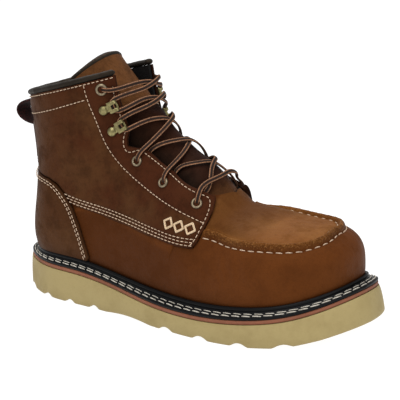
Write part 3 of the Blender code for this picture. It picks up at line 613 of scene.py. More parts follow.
def leather(name, main, light, dark, other, gloss, nap, blotch=BLOTCH):
    """Waxy leather: cloudy pull-up tones, fine grain, a shade tone that darkens edges and holds painted
    shade, and a second tone by region.
    """
    paint = Paint(name, Specular_IOR_Level=gloss, Specular_Tint=WAX,
                  Sheen_Weight=nap, Sheen_Roughness=0.5, Sheen_Tint=light)
    cloud = paint.span(paint.noise(26.0, 4.0, 0.6), 0.38, 0.66)
    patch = paint.span(paint.noise(75.0, 5.0, 0.65), 0.42, 0.68)
    speck = paint.span(paint.noise(520.0, 3.0, 0.7), 0.45, 0.72)
    nap_cut = paint.noise(850.0, 3.0, 0.6)
    cut = paint.tone("cut")
    layers = (
        (cloud, light),
        (paint.tone("pale"), light),
        (paint.tone("region"), other),
        (paint.times(patch, blotch), dark),
        (paint.times(speck, 0.20), dark),
        # Shade tone: darker edges and foot, and painted shade in grooves, along stitch lines, at the medial
        # front corner and on the tongue under the quarters.
        (paint.tone("shade"), dark),
        (paint.times(cut, paint.span(nap_cut, 0.48, 0.34, 0.0, 0.7)), dark),
        (paint.times(cut, paint.span(nap_cut, 0.52, 0.72, 0.0, 0.8)), CUT_CREST),
    )
    colour = main
    for share, over in layers:
        colour = paint.mix(share, colour, over)
    paint.set("Base Color", colour)
    paint.set("Roughness", paint.span(patch, 0.0, 1.0, 0.56, 0.72))
    grain = paint.cells(950.0)
    nub = paint.noise(2600.0, 2.0, 0.6)
    wave = paint.noise(120.0, 3.0, 0.5)
    paint.bump((wave, 0.0006), (grain, 0.00009), (nub, 0.00007), (paint.times(cut, nap_cut), 0.0012))
    return paint.material


def rubber(name, main, dark, roughness, pebble, gloss=0.3):
    """Moulded rubber with a fine pebble and slight clouding."""
    paint = Paint(name, Specular_IOR_Level=gloss)
    cloud = paint.span(paint.noise(32.0, 5.0, 0.65), 0.40, 0.70)
    dust = paint.span(paint.noise(340.0, 4.0, 0.7), 0.50, 0.75)
    colour = paint.mix(paint.times(cloud, 0.55), main, dark)
    colour = paint.mix(paint.times(dust, 0.30), colour, dark)
    paint.set("Base Color", paint.mix(paint.tone("shade"), colour, dark))
    paint.set("Roughness", paint.span(cloud, 0.0, 1.0, roughness, roughness + 0.12))
    paint.bump((paint.noise(900.0, 3.0, 0.6), pebble), (paint.cells(1500.0), 0.4 * pebble))
    return paint.material


def metal(name, main, dark):
    """Antique plated brass: bright where it is rubbed, dark in the recesses."""
    paint = Paint(name, metallic=1.0)
    worn = paint.span(paint.noise(420.0, 4.0, 0.65), 0.36, 0.66)
    colour = paint.mix(paint.times(worn, 0.5), main, dark)
    paint.set("Base Color", paint.mix(paint.tone("shade"), colour, dark))
    paint.set("Roughness", paint.span(worn, 0.0, 1.0, 0.32, 0.5))
    paint.bump((paint.noise(1800.0, 2.0, 0.5), 0.00003))
    return paint.material


def cloth(name, main, dark, rib):
    """Woven fabric of small threads with lighter tops."""
    paint = Paint(name, roughness=0.85, Specular_IOR_Level=0.25)
    weave = paint.cells(rib)
    cloud = paint.span(paint.noise(140.0, 4.0, 0.6), 0.40, 0.70)
    colour = paint.mix(paint.span(weave, 0.1, 0.6), main, dark)
    colour = paint.mix(paint.times(cloud, 0.4), colour, dark)
    paint.set("Base Color", paint.mix(paint.tone("shade"), colour, dark))
    paint.bump((weave, 0.0002), (paint.noise(2400.0, 2.0, 0.6), 0.00008))
    return paint.material


def thread(name, main, dark):
    """Twisted sewing thread."""
    paint = Paint(name, roughness=0.75, Specular_IOR_Level=0.3)
    twist = paint.noise(1500.0, 2.0, 0.6)
    paint.set("Base Color", paint.mix(paint.span(twist, 0.40, 0.70), main, dark))
    paint.bump((twist, 0.00012))
    return paint.material


def braid(name, main, dark, line):
    """Flat braided lace: dark middle and two pale lines, given by the stripe tone."""
    paint = Paint(name, roughness=0.8, Specular_IOR_Level=0.25)
    knit = paint.cells(1600.0)
    colour = paint.mix(paint.span(knit, 0.1, 0.6), main, dark)
    pale = paint.mix(paint.span(knit, 0.25, 1.1), line, main)
    paint.set("Base Color", paint.mix(paint.tone("stripe"), colour, pale))
    paint.bump((knit, 0.0002), (paint.noise(2600.0, 2.0, 0.6), 0.00006))
    return paint.material


LEATHERS = {
    # The vamp's second colour darkens its walls: partly a darker leather, partly painted shade of the top
    # light.
    "vamp": (srgb(122, 75, 34), srgb(134, 87, 43), srgb(58, 29, 12), srgb(91, 49, 20), 0.1, 0.01, 0.24),
    "shaft": (srgb(66, 34, 18), srgb(77, 48, 27), srgb(30, 15, 9), srgb(65, 33, 19), 0.08, 0.0),
    "counter": (srgb(71, 42, 22), srgb(80, 51, 29), srgb(38, 21, 11), srgb(64, 38, 21), 0.1, 0.0),
    "tongue": (srgb(40, 20, 14), srgb(50, 26, 18), srgb(8, 6, 6), srgb(98, 62, 35), 0.1, 0.01),
    "collar": (srgb(24, 26, 25), srgb(34, 36, 34), srgb(10, 10, 10), srgb(12, 12, 12), 0.35, 0.0),
}
PAINTS = {name: leather(name + "_leather", *look) for name, look in LEATHERS.items()}
PAINTS.update({
    "lining": cloth("lining", srgb(15, 14, 14), srgb(7, 6, 6), 1100.0),
    "footbed": cloth("footbed", srgb(74, 62, 50), srgb(44, 36, 28), 700.0),
    "webbing": cloth("webbing", srgb(70, 20, 16), srgb(28, 7, 6), 800.0),
    "wedge": rubber("wedge_rubber", srgb(163, 145, 97), srgb(142, 124, 80), 0.6, 0.00008),
    "rust": rubber("rust_rubber", srgb(138, 84, 60), srgb(108, 66, 46), 0.6, 0.00008),
    "welt": rubber("welt_rubber", srgb(8, 9, 11), srgb(5, 5, 6), 0.40, 0.00004, 0.14),
    "brass": metal("antique_brass", srgb(150, 141, 98), srgb(58, 51, 32)),
    "bronze": metal("antique_bronze", srgb(150, 136, 112), srgb(74, 60, 46)),
    "hole": cloth("hole_dark", srgb(12, 9, 8), srgb(5, 4, 4), 900.0),
    "thread": thread("pale_thread", srgb(208, 182, 156), srgb(158, 130, 104)),
    "ornament": thread("ornament_cord", srgb(218, 192, 158), srgb(176, 146, 112)),
    "welt_thread": thread("welt_thread", srgb(198, 192, 180), srgb(140, 132, 118)),
    "lace": braid("lace_braid", srgb(42, 21, 13), srgb(18, 9, 6), srgb(190, 136, 98)),
})


def weld(points, faces):
    """One index for points that coincide, and faces without repeats."""
    key = np.round(points, 3) + 0.0
    _, first, index = np.unique(key, axis=0, return_index=True, return_inverse=True)
    index = index.reshape(-1)
    kept = []
    for face in faces:
        loop = [int(index[i]) for i in face]
        loop = [a for a, b in zip(loop, loop[1:] + loop[:1]) if a != b]
        if len(set(loop)) >= 3:
            kept.append(tuple(loop))
    return first, kept


def grid_faces(rows, columns, start=0, flip=False, closed=False):
    """Quads of a grid stored row by row; closed joins the last column to the first."""
    faces = []
    for r in range(rows - 1):
        for c in range(columns if closed else columns - 1):
            right = (c + 1) % columns
            quad = (start + r * columns + c, start + r * columns + right,
                    start + (r + 1) * columns + right, start + (r + 1) * columns + c)
            faces.append(quad[::-1] if flip else quad)
    return faces


def add_piece(name, points, faces, paints, slot, nodes=(), tones=None, face_paint=None, sharp=50.0):
    """A mesh piece on the boot, with its materials, tones for them and the solids it stands for."""
    mesh = bpy.data.meshes.new(name)
    mesh.from_pydata(place(points).tolist(), [], [list(face) for face in faces])
    for paint in paints:
        mesh.materials.append(PAINTS[paint])
    if face_paint is not None:
        mesh.polygons.foreach_set("material_index", np.asarray(face_paint, np.int32))
    for key, values in (tones or {}).items():
        layer = mesh.attributes.new(key, "FLOAT", "POINT")
        layer.data.foreach_set("value", np.asarray(values, np.float32))
    shape = bmesh.new()
    shape.from_mesh(mesh)
    bmesh.ops.recalc_face_normals(shape, faces=shape.faces[:])
    shape.to_mesh(mesh)
    shape.free()
    mesh.shade_smooth()
    mesh.set_sharp_from_angle(angle=math.radians(sharp))
    piece = bpy.data.objects.new(name, mesh)
    bpy.context.scene.collection.objects.link(piece)
    if nodes:
        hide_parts(*nodes)
    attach(piece, "root")
    return piece


LEATHER_TONES = ("region", "shade", "pale")


def add_sheet(name, grids, paints, slot, nodes, tones=LEATHER_TONES):
    """Closed solid of one or two grids: outer and inner points, the outer ones' tones, flip of its faces."""
    outers, inners, faces, layers = [], [], [], {key: [] for key in tones}
    start = 0
    for outer, inner, values, flip in grids:
        rows, columns = outer.shape[:2]
        faces += grid_faces(rows, columns, start, flip)
        start += rows * columns
        outers.append(outer.reshape(-1, 3))
        inners.append(inner.reshape(-1, 3))
        for key in tones:
            layers[key].append(np.broadcast_to(values.get(key, 0.0), outer.shape[:2]).reshape(-1))
    outer = np.concatenate(outers)
    first, faces = weld(outer, faces)
    outer = outer[first]
    inner = np.concatenate(inners)[first]
    count = len(outer)
    used = {(a, b) for face in faces for a, b in zip(face, face[1:] + face[:1])}
    rim = [(b, a, a + count, b + count) for a, b in sorted(used) if (b, a) not in used]
    back = [tuple(i + count for i in reversed(face)) for face in faces]
    layers = {key: np.tile(np.concatenate(values)[first], 2) for key, values in layers.items()}
    face_paint = [0] * len(faces) + [min(1, len(paints) - 1)] * (len(back) + len(rim))
    points = np.concatenate([outer, inner])
    return add_piece(name, points, faces + back + rim, paints, slot, nodes, layers, face_paint)


def ring_faces(loops, columns):
    """Faces of a closed ring of loops."""
    faces = grid_faces(loops, columns, closed=True)
    last = (loops - 1) * columns
    faces += [(last + c, last + (c + 1) % columns, (c + 1) % columns, c) for c in range(columns)]
    return faces


def round_turns(sides):
    return np.linspace(0.0, 2.0 * math.pi, sides, endpoint=False)


def tube(path, across, up, half_wide, half_thick, sides, square=1.0):
    """Capped tube along a path; its sizes may change along it, and a square below 1 flattens its sides."""
    cos, sin = np.cos(round_turns(sides)), np.sin(round_turns(sides))
    cos = (np.sign(cos) * np.abs(cos) ** square)[None, :, None]
    sin = (np.sign(sin) * np.abs(sin) ** square)[None, :, None]
    wide = np.broadcast_to(half_wide, len(path))[:, None, None] * cos * across[:, None, :]
    thick = np.broadcast_to(half_thick, len(path))[:, None, None] * sin * up[:, None, :]
    points = (path[:, None, :] + wide + thick).reshape(-1, 3)
    faces = grid_faces(len(path), sides, closed=True)
    faces.append(tuple(range(sides - 1, -1, -1)))
    last = (len(path) - 1) * sides
    faces.append(tuple(last + i for i in range(sides)))
    return points, faces


def join(parts):
    """One list of points and faces from several."""
    points, faces, start = [], [], 0
    for part_points, part_faces in parts:
        points.append(part_points)
        faces += [tuple(i + start for i in face) for face in part_faces]
        start += len(part_points)
    return np.concatenate(points), faces


def distance_to(points, line):
    """Distance of each point of a grid to the nearest point of a line."""
    tree = KDTree(len(line))
    for index, point in enumerate(line):
        tree.insert(point, index)
    tree.balance()
    flat = points.reshape(-1, 3)
    return np.array([tree.find(point)[2] for point in flat]).reshape(points.shape[:-1])


def run_of(path):
    """Length along a path at each of its points."""
    return np.concatenate([[0.0], np.cumsum(np.linalg.norm(np.diff(path, axis=0), axis=1))])


def heading(path):
    """Direction of a path at each of its points."""
    return unit(np.gradient(path, axis=0))


def along(path, values, at):
    """Values given at a path's points, read at lengths along it."""
    run = run_of(path)
    return np.stack([np.interp(at, run, values[:, axis]) for axis in range(values.shape[1])], -1)


def lofted(loops):
    """Closed solid from loops of points; the first and the last loop shrink to a line."""
    points = np.concatenate(loops)
    first, faces = weld(points, grid_faces(len(loops), len(loops[0]), closed=True))
    return points[first], faces


def mirrored(halves):
    """One path from the lateral and the medial half, which both end in the middle."""
    lateral, medial = halves
    return np.concatenate([lateral, medial[-2::-1]])


# Grids of panels: step along pattern lines, rows near an edge and lengths that these need, mm.
LINE_STEP = 0.8
EDGE_ROWS = (0.0, 0.2, 0.5, 0.9, 1.4, 2.0)
EDGE_ROOM = 8.0
SECTION_STEPS = 121


def smooth_line(line):
    """Pattern line as a smooth curve of stations in mm and depths."""
    station, depth = line_table(line)
    side_view = np.stack([station * math.pi / 180.0 / FAN_STEP * depth, depth], -1)
    run = run_of(side_view)
    at = np.linspace(0.0, run[-1], max(int(run[-1] / LINE_STEP), 2))
    return spline(run, station, at), spline(run, depth, at)


def inset_line(line, distance):
    """Pattern line moved sideways by a distance, towards greater depth where it is positive."""
    station, depth = smooth_line(line)
    angle = np.radians(station / FAN_STEP)
    side_view = np.stack([depth * np.sin(angle), depth * np.cos(angle)], -1)
    ahead = heading(side_view)
    moved = side_view + np.stack([-ahead[:, 1], ahead[:, 0]], -1) * distance
    return np.degrees(np.arctan2(moved[:, 0], moved[:, 1])) * FAN_STEP, np.hypot(moved[:, 0], moved[:, 1])


def on_form(station, depth, side, set_in=True):
    """Points of the form on a pattern line, and their normals."""
    if set_in:
        depth = depth + medial_set(station, side)
    point = form(station, turn_at(station, depth, side), side)
    return point, outward(point)


def graded(*stretches):
    """Stations in mm along stretches of (from, to, count), each starting where the one before it ends."""
    runs = [np.linspace(*stretches[0])]
    runs += [np.linspace(*stretch)[1:] for stretch in stretches[1:]]
    return fan(np.concatenate(runs))


def even_turns(stations, low, high, side, shares):
    """Turns of a panel's grid at a grid of shares of each section's length, and those lengths."""
    turn = low + (high - low) * np.linspace(0.0, 1.0, SECTION_STEPS)[:, None]
    point = form(np.broadcast_to(stations, turn.shape), turn, side)
    steps = np.linalg.norm(np.diff(point, axis=0), axis=-1)
    run = np.concatenate([np.zeros((1, len(stations))), np.cumsum(steps, axis=0)])
    shares = np.broadcast_to(shares, (len(shares), len(stations)))
    made = [np.interp(shares[:, c] * run[-1, c], run[:, c], turn[:, c]) for c in range(len(stations))]
    return np.stack(made, -1), run[-1]


def section_lengths(stations, low, high, side):
    return even_turns(stations, low, high, side, np.zeros((1, 1)))[1]


def panel_turns(stations, low, high, side, rows):
    """Turns of a panel's grid, closer together at both edges so that these can be round."""
    length = section_lengths(stations, low, high, side)
    near = np.array(EDGE_ROWS)[:, None] * np.minimum(1.0, length / EDGE_ROOM)
    last = near[-1] / length
    middle = last + (1.0 - 2.0 * last) * np.linspace(0.0, 1.0, rows)[1:-1, None]
    shares = np.concatenate([near / length, middle, 1.0 - near[::-1] / length])
    return even_turns(stations, low, high, side, shares)[0]


def bell(value, width):
    return np.exp(-(value / width) ** 2)


# Soft unevenness of leather: directions of three slow waves, and how their lengths and starts differ.
RIPPLE_WAYS = np.array([[0.9, 0.3, 0.4], [-0.4, 0.8, 0.5], [0.3, -0.5, 0.85]])
RIPPLE_LONGER = 0.37
RIPPLE_SHIFT = 1.3
RIPPLE_CLEAR = 6.0


def ripple(points, length, depth):
    total = 0.0
    for i, way in enumerate(RIPPLE_WAYS):
        longer = length * (1.0 + RIPPLE_LONGER * i)
        total = total + np.sin(2.0 * math.pi * (points @ way) / longer + RIPPLE_SHIFT * i)
    return depth * total / 3.0


def near_welt(points, fade):
    """1 down at the welt's bead, fading upwards."""
    return np.exp(-np.maximum(points[..., 2] - bead_top(points[..., 0]), 0.0) / fade)


# Moc seam: a standing roll along the plug's edge, puckered, with a cut rough top, mm.
ROLL_LOW = -2.5
ROLL_HIGH = 3.3
ROLL_RISE = 3.5
ROLL_LEAN = 1.1
ROLL_FULL = 0.75
ROLL_UPRIGHT = 0.75
ROLL_PUCKER = 0.02
ROLL_ROUGH = 0.09
ROUGH_WAVES = ((2.3, 0.9), (3.7, -1.4))
PUCKER = 6.9
STITCH_PUCKER = 0.35
SEAM_STITCH_LOW = -2.9
SEAM_STITCH_HIGH = 3.6
LOW_GROOVE = 0.5
HIGH_GROOVE = 0.6
GROOVE_HALF = 0.6
GATHER_DEEP = 0.15
GATHER_AT = -3.5
GATHER_BELOW = -2.7
GATHER_FADE = 3.0

# Grid of the upper: sections from the collar to the toe, and rows below, along and above the seam.
UPPER_REAR = ((COLLAR_STATION, -54.0, 24), (-54.0, -42.0, 26), (-42.0, -12.0, 36), (-12.0, -4.0, 24))
BALL_FROM = -6.5
BALL_COUNT = 26
TOE_COUNT = 100
SEAM_FROM = -16.0
SEAM_CLEAR = 9.0
SEAM_BAND = (-5.0, 6.0)
ROWS_UNDER = 22
ROWS_BAND = 34
ROWS_OVER = 20

# Where the seam comes out from under the quarters, and how far these and the counter cover the upper.
SEAM_SHOWN = (-9.6, -7.2)
PLAIN_BACK = -11.0
QUARTER_FRONT = -8.6
COUNTER_FRONT = -37.0
PANELS_MEET = -47.0
COVER_FADE = (0.0, 3.0)
FRONT_FADE = (0.0, 4.0)

# Soft flex creases in the vamp's sides: station at the seam, slant, half width, depth, mm.
CREASES = ((-10.0, 0.55, 3.0, 0.45), (1.0, 0.40, 3.6, 0.55), (13.0, 0.30, 3.2, 0.40))
CREASE_TOP = -4.0
CREASE_IN = (CREASE_TOP, -9.0)
CREASE_OUT = (-34.0, -22.0)
VAMP_RIPPLE = (46.0, 0.35)

# Tones of the vamp: where each place of it fades in, how dark it is, and a darker patch low on the lateral
# toe.
ROLL_TONE_LOW = (ROLL_LOW - 0.2, ROLL_LOW + 1.4)
ROLL_TONE_HIGH = (ROLL_HIGH + 0.4, ROLL_HIGH - 1.6)
FACE_TONE = (1.0, -0.8)
# GROOVE_TONE and GROOVE_DARK: painted shade in the grooves along the seam's stitch rows, its width and
# darkness.
GROOVE_TONE = 0.9
PLUG_BACK = (38.0, -2.0)
PLUG_ABOVE = (ROLL_HIGH, ROLL_HIGH + 4.0)
FLANK_BACK = (16.0, -46.0)
FLANK_BELOW = (0.0, -6.0)
# Where the walls' second colour starts: partly a darker leather, partly painted shade of the top light.
WALL_COLOUR_AND_SHADE = (-3.0, 0.6)
FOOT_FADE = 4.0
ROLL_DARK = 0.1
FACE_DARK = 0.3
GROOVE_DARK = 0.35
FOOT_DARK = 0.35
PLUG_DARK = 0.62
FLANK_DARK = 0.55
PATCH_DARK = 0.25
VAMP_DARK_MOST = 0.9
TOE_PATCH = (57.5, 150.7)
TOE_PATCH_HALF = (12.0, 7.0)


def seam_roll(d, run):
    """Lift of the moc seam at d mm above the seam's line; run is the length along it from the toe."""
    pucker = np.cos(2.0 * math.pi * run / PUCKER)
    rough = sum(0.5 * np.sin(2.0 * math.pi * run / length + turn * d) for length, turn in ROUGH_WAVES)
    share = ramp(ROLL_LOW, ROLL_HIGH, d)
    roll = ROLL_RISE * np.sin(math.pi * share ** ROLL_LEAN) ** ROLL_FULL * (1.0 + ROLL_PUCKER * pucker)
    roll = roll + ROLL_ROUGH * rough * np.sin(math.pi * share) ** 2
    low = -LOW_GROOVE * bell(d - SEAM_STITCH_LOW, GROOVE_HALF) * (1.0 + STITCH_PUCKER * pucker)
    high = -HIGH_GROOVE * bell(d - SEAM_STITCH_HIGH, GROOVE_HALF) * (1.0 + STITCH_PUCKER * pucker)
    gather = -GATHER_DEEP * (0.5 + 0.5 * pucker) * np.exp(-np.abs(d - GATHER_AT) / GATHER_FADE)
    gather = gather * (d < GATHER_BELOW)
    return roll, low + high + gather


def upper_grid(side):
    """Grid of the upper's outside: stations, turns, mm above the seam and lengths along the seam."""
    ball = np.linspace(BALL_FROM, TOE_START, BALL_COUNT)
    toe = np.linspace(TOE_START, TOE_END, TOE_COUNT)[1:]
    stations = np.concatenate([graded(*UPPER_REAR), ball, toe])
    low = lower_turn(stations, side, feather)
    high = upper_turn(stations, side)
    seam = turn_at(stations, line_depth(SEAM_LATERAL if side < 0 else SEAM_MEDIAL, stations), side)
    total = section_lengths(stations, low, high, side)
    below = section_lengths(stations, low, np.maximum(seam, low), side)
    below = np.where(stations < fan(SEAM_FROM), 0.5 * total, np.clip(below, SEAM_CLEAR, total - SEAM_CLEAR))
    band_low, band_high = SEAM_BAND
    under = -below + (below + band_low) * np.linspace(0.0, 1.0, ROWS_UNDER)[:, None]
    band = np.linspace(band_low, band_high, ROWS_BAND)[1:, None] + np.zeros(len(stations))
    over = band_high + (total - below - band_high) * np.linspace(0.0, 1.0, ROWS_OVER)[1:, None]
    d = np.concatenate([under, band, over])
    turn, _ = even_turns(stations, low, high, side, (d + below) / total)
    run = run_of(form(stations, seam, side)[::-1])[::-1]
    return np.broadcast_to(stations, turn.shape), turn, d, np.broadcast_to(run, turn.shape)


def under_panels(stations, depth):
    """0 to 1 where the quarter or the counter lies over the upper."""
    quarter = smoothstep(*COVER_FADE, line_depth(QUARTER_LOW, stations) - depth)
    quarter = np.where(stations < fan(PANELS_MEET), 1.0, quarter)
    quarter = quarter * smoothstep(*FRONT_FADE, fan(QUARTER_FRONT) - stations)
    counter = smoothstep(*COVER_FADE, depth - line_depth(COUNTER_TOP, stations))
    counter = counter * smoothstep(*FRONT_FADE, fan(COUNTER_FRONT) - stations)
    return np.maximum(quarter, counter)


def vamp_tones(side, stations, depth, d, outer, shown):
    """Tones of the upper: second colour, darkness and the cut top of the roll."""
    on_roll = smoothstep(*ROLL_TONE_LOW, d) * smoothstep(*ROLL_TONE_HIGH, d)
    face = smoothstep(*FACE_TONE, d) * on_roll
    # Painted shade in the grooves along the seam's two stitch rows.
    groove = bell(d - SEAM_STITCH_LOW, GROOVE_TONE) + bell(d - SEAM_STITCH_HIGH, GROOVE_TONE)
    plug = smoothstep(*PLUG_BACK, stations) * smoothstep(*PLUG_ABOVE, d)
    flank = smoothstep(*FLANK_BACK, stations) * smoothstep(*FLANK_BELOW, d)
    patch = bell(stations - TOE_PATCH[0], TOE_PATCH_HALF[0]) * bell(depth - TOE_PATCH[1], TOE_PATCH_HALF[1])
    shade = (ROLL_DARK * on_roll + FACE_DARK * face + GROOVE_DARK * groove) * shown
    shade = shade + FOOT_DARK * near_welt(outer, FOOT_FADE) + PLUG_DARK * plug + FLANK_DARK * flank
    shade = shade + PATCH_DARK * patch * (side < 0)
    plain = smoothstep(fan(SEAM_SHOWN[0]), fan(PLAIN_BACK), stations)
    # Walls below the roll take the second colour: partly a darker leather, partly painted shade of the top
    # light.
    region = np.maximum(1.0 - smoothstep(*WALL_COLOUR_AND_SHADE, d), plain)
    return {"region": region, "shade": np.clip(shade, 0.0, VAMP_DARK_MOST), "cut": on_roll * shown}


def make_upper():
    """The leather body with the moc seam; gives the seam's two stitch rows on each side."""
    grids = []
    rows = []
    for side in SIDES:
        stations, turn, d, run = upper_grid(side)
        skin = form(stations, turn, side)
        depth = depth_of(skin)
        shown = smoothstep(fan(SEAM_SHOWN[0]), fan(SEAM_SHOWN[1]), stations)
        roll, sunk = seam_roll(d, run)
        rise = sunk * shown - PANEL_BED * under_panels(stations, depth)
        rise = rise + ripple(skin, *VAMP_RIPPLE) * shown
        on_flank = smoothstep(*CREASE_IN, d) * smoothstep(*CREASE_OUT, d)
        for at, slant, half, deep in CREASES:
            rise = rise - deep * bell(stations - at + slant * (d - CREASE_TOP), half) * on_flank
        upright = unit(outward(skin) * (1.0 - ROLL_UPRIGHT) + np.array([0.0, 0.0, ROLL_UPRIGHT]))
        outer = lifted(skin, rise) + upright * (roll * shown)[..., None]
        tones = vamp_tones(side, stations, depth, d, outer, shown)
        grids.append((outer, lifted(skin, -WALL), tones, side > 0))
        ahead = stations[0] > fan(QUARTER_FRONT)
        for offset in (SEAM_STITCH_LOW, SEAM_STITCH_HIGH):
            row = int(np.argmin(np.abs(d[:, -1] - offset)))
            rows.append((outer[row][ahead], outward(skin[row][ahead])))
    tone_names = LEATHER_TONES + ("cut",)
    add_sheet("upper_leather", grids, ("vamp", "lining"), "vamp_leather", ("upper",), tone_names)
    return rows


# Panels: how far their faces fall to their edges, how stitches press in, and how dark both are.
EDGE_FULL = 0.98
STITCH_BED = 0.28
STITCH_BED_HALF = 0.9
# SEWN_DARK and SEWN_HALF: painted shade along the pressed-in stitch lines, how dark and how wide.
SEWN_DARK = 0.25
SEWN_HALF = 1.3
PANEL_DARK_MOST = 0.85


def panel_face(lift, distance, sewn, edge_wide, edge_drop):
    """Lift of a panel's face: round towards its edge and pressed in along its stitches."""
    share = 1.0 - ramp(0.0, edge_wide, distance)
    fall = edge_drop * (1.0 - np.sqrt(1.0 - EDGE_FULL * share ** 2))
    return lift - fall - STITCH_BED * bell(sewn, STITCH_BED_HALF)


def panel_shade(distance, sewn, edge_dark, edge_fade):
    """Darkness of a panel towards its edge, and painted shade along its pressed-in stitch lines."""
    shade = edge_dark * np.exp(-distance / edge_fade) + SEWN_DARK * bell(sewn, SEWN_HALF)
    return np.clip(shade, 0.0, PANEL_DARK_MOST)


# Stitching: distances of its rows from the panels' edges, and each stitch's size, mm.
THROAT_ROW = 2.6
LOW_ROWS = (1.7, 3.9, 6.1)
LOW_SEWN = ((-50.6, 196.7),) + QUARTER_LOW[6:11]
LOW_SEWN_TO = -9.3
COUNTER_ROWS = (1.8, 3.8)
COUNTER_SEWN_TO = -37.4
COUNTER_CLEAR = 0.6
COLLAR_ROWS = ((-74.55, -74.3), (-71.4, -69.6))
COLLAR_ROW_STEPS = 130
COLLAR_ROW_CLEAR = 0.012
STITCH_PITCH = 3.4
STITCH_LONG = 2.5
STITCH_HALF = 0.35

# Quarters: their grids, back seam, the dark strip over it, the medial front corner with its painted shade,
# and a scuff.
QUARTER_REAR = ((COLLAR_STATION, -63.5, 22), (-63.5, -58.0, 20), (-58.0, -42.0, 46), (-42.0, -12.0, 46))
QUARTER_NOSE = 3.47
NOSE_COUNT = 28
QUARTER_ROWS = 66
BACK_SEAM_TO = -62.1
BACK_SEAM_TURN = 0.006
BACK_STRIP = 19.0
BACK_STRIP_FROM = -69.3
BACK_STRIP_TO = -50.0
STRIP_FADE = 0.5
STRIP_END_FADE = 0.6
BACK_STRIP_RISE = 1.5
BACK_STRIP_DARK = 0.8
BACK_SEAM_CLEAR = 0.9
FRONT_CORNER = (-12.5, 116.0)
CORNER_HALF = 9.0
CORNER_STRETCH = 1.1
CORNER_RISE = 2.6
SCUFF = (-37.0, 146.0)
SCUFF_HALF = 4.0
SCUFF_PALE = 0.8
PALE_BACK = (-75.0, -112.0)
PALE_BACK_MOST = 0.7
PAD_LOW = (-70.2, -71.4)
PAD_HIGH = (-74.4, -73.4)
PAD_RISE = 0.7
EYESTAY_FADE = (0.8, -0.8)
EYESTAY_RISE = 0.25
EYESTAY_TONE = 0.9
QUARTER_EDGE = (1.6, 1.5)
QUARTER_EDGE_DARK = (0.75, 0.7)
QUARTER_DARK_MOST = 0.95
QUARTER_RIPPLE = (52.0, 0.4)


def quarter_rows(side):
    """Stitch rows on a quarter: points on the form and normals of each row."""
    rows = []
    throat = inset_line(QUARTER_TOP[1:] + QUARTER_LOW[-1:-4:-1], THROAT_ROW)
    for station, depth in (throat, smooth_line(EYESTAY_LINE)):
        rows.append(on_form(quarter_place(station, side), depth, side))
    for distance in LOW_ROWS:
        station, depth = inset_line(LOW_SEWN, -distance)
        kept = (depth < line_depth(COUNTER_TOP, station) - COUNTER_CLEAR) & (station < fan(LOW_SEWN_TO))
        rows.append(on_form(quarter_place(station[kept], side), depth[kept], side, set_in=False))
    for (back, front), edge in zip(COLLAR_ROWS, (THROAT_EDGE, EYESTAY_LINE)):
        top = float(line_turn(edge, at_station(front), side)[0])
        turn = np.linspace(COLLAR_ROW_CLEAR, top - COLLAR_ROW_CLEAR, COLLAR_ROW_STEPS)
        point = form(fan(np.linspace(back, front, COLLAR_ROW_STEPS)), turn, side)
        rows.append((point, outward(point)))
    return rows


def make_quarter(side, word):
    """One quarter; gives its stitch rows."""
    nose = QUARTER_REAR[-1][1] + QUARTER_NOSE * np.sin(np.linspace(0.0, 0.5 * math.pi, NOSE_COUNT))
    pattern = np.concatenate([graded(*QUARTER_REAR)[:-1], fan(nose)])
    stations = quarter_place(pattern, side)
    low = turn_at(stations, line_depth(QUARTER_LOW, pattern), side)
    low = np.where(pattern < fan(BACK_SEAM_TO), BACK_SEAM_TURN, np.maximum(low, BACK_SEAM_TURN))
    high = turn_at(stations, line_depth(QUARTER_TOP, pattern) + medial_set(stations, side), side)
    turn = panel_turns(stations, low, high, side, QUARTER_ROWS)
    grid = np.broadcast_to(stations, turn.shape)
    skin = form(grid, turn, side)
    distance = distance_to(skin, np.concatenate([skin[0], skin[-1], skin[:, -1]]))
    rows = quarter_rows(side)
    sewn = distance_to(skin, np.concatenate([points for points, _ in rows]))
    depth = depth_of(skin) - medial_set(grid, side)
    strip = smoothstep(*EYESTAY_FADE, depth - line_depth(EYESTAY_LINE, pattern))
    pad = smoothstep(*fan(PAD_LOW), grid) * smoothstep(*fan(PAD_HIGH), grid)
    lift = panel_face(PANEL_LIFT, distance, sewn, *QUARTER_EDGE)
    lift = lift + PAD_RISE * pad * (1.0 - strip) + EYESTAY_RISE * strip
    lift = lift + ripple(skin, *QUARTER_RIPPLE) * smoothstep(0.0, RIPPLE_CLEAR, distance)
    corner = np.hypot((grid - fan(FRONT_CORNER[0])) * CORNER_STRETCH, depth - FRONT_CORNER[1])
    lump = bell(corner, CORNER_HALF) * (side > 0)
    back = smoothstep(BACK_STRIP + STRIP_FADE, BACK_STRIP - STRIP_FADE, np.abs(skin[..., 1])) * (turn < 0.5)
    strip_end = fan(BACK_STRIP_FROM)
    back = back * smoothstep(strip_end - STRIP_END_FADE, strip_end + STRIP_END_FADE, grid)
    back = back * (grid < fan(BACK_STRIP_TO))
    lift = lift + CORNER_RISE * lump + BACK_STRIP_RISE * back
    # Painted shade at the medial quarter's front corner, where it turns away, on top of its rise.
    shade = np.clip(panel_shade(distance, sewn, *QUARTER_EDGE_DARK) + lump, 0.0, QUARTER_DARK_MOST)
    shade = np.maximum(shade, BACK_STRIP_DARK * back)
    scuff = np.hypot(grid - fan(SCUFF[0]), depth - SCUFF[1])
    pale = smoothstep(*PALE_BACK, skin[..., 0]) * (1.0 - strip) * PALE_BACK_MOST
    pale = pale + SCUFF_PALE * bell(scuff, SCUFF_HALF)
    tones = {"region": strip * EYESTAY_TONE, "shade": shade, "pale": pale}
    grids = [(lifted(skin, lift), lifted(skin, PANEL_GAP), tones, side > 0)]
    add_sheet("quarter_leather_" + word, grids, ("shaft",), "shaft_leather", ("quarter_" + word,))
    return [(points, normals, 1.0) for points, normals in rows]


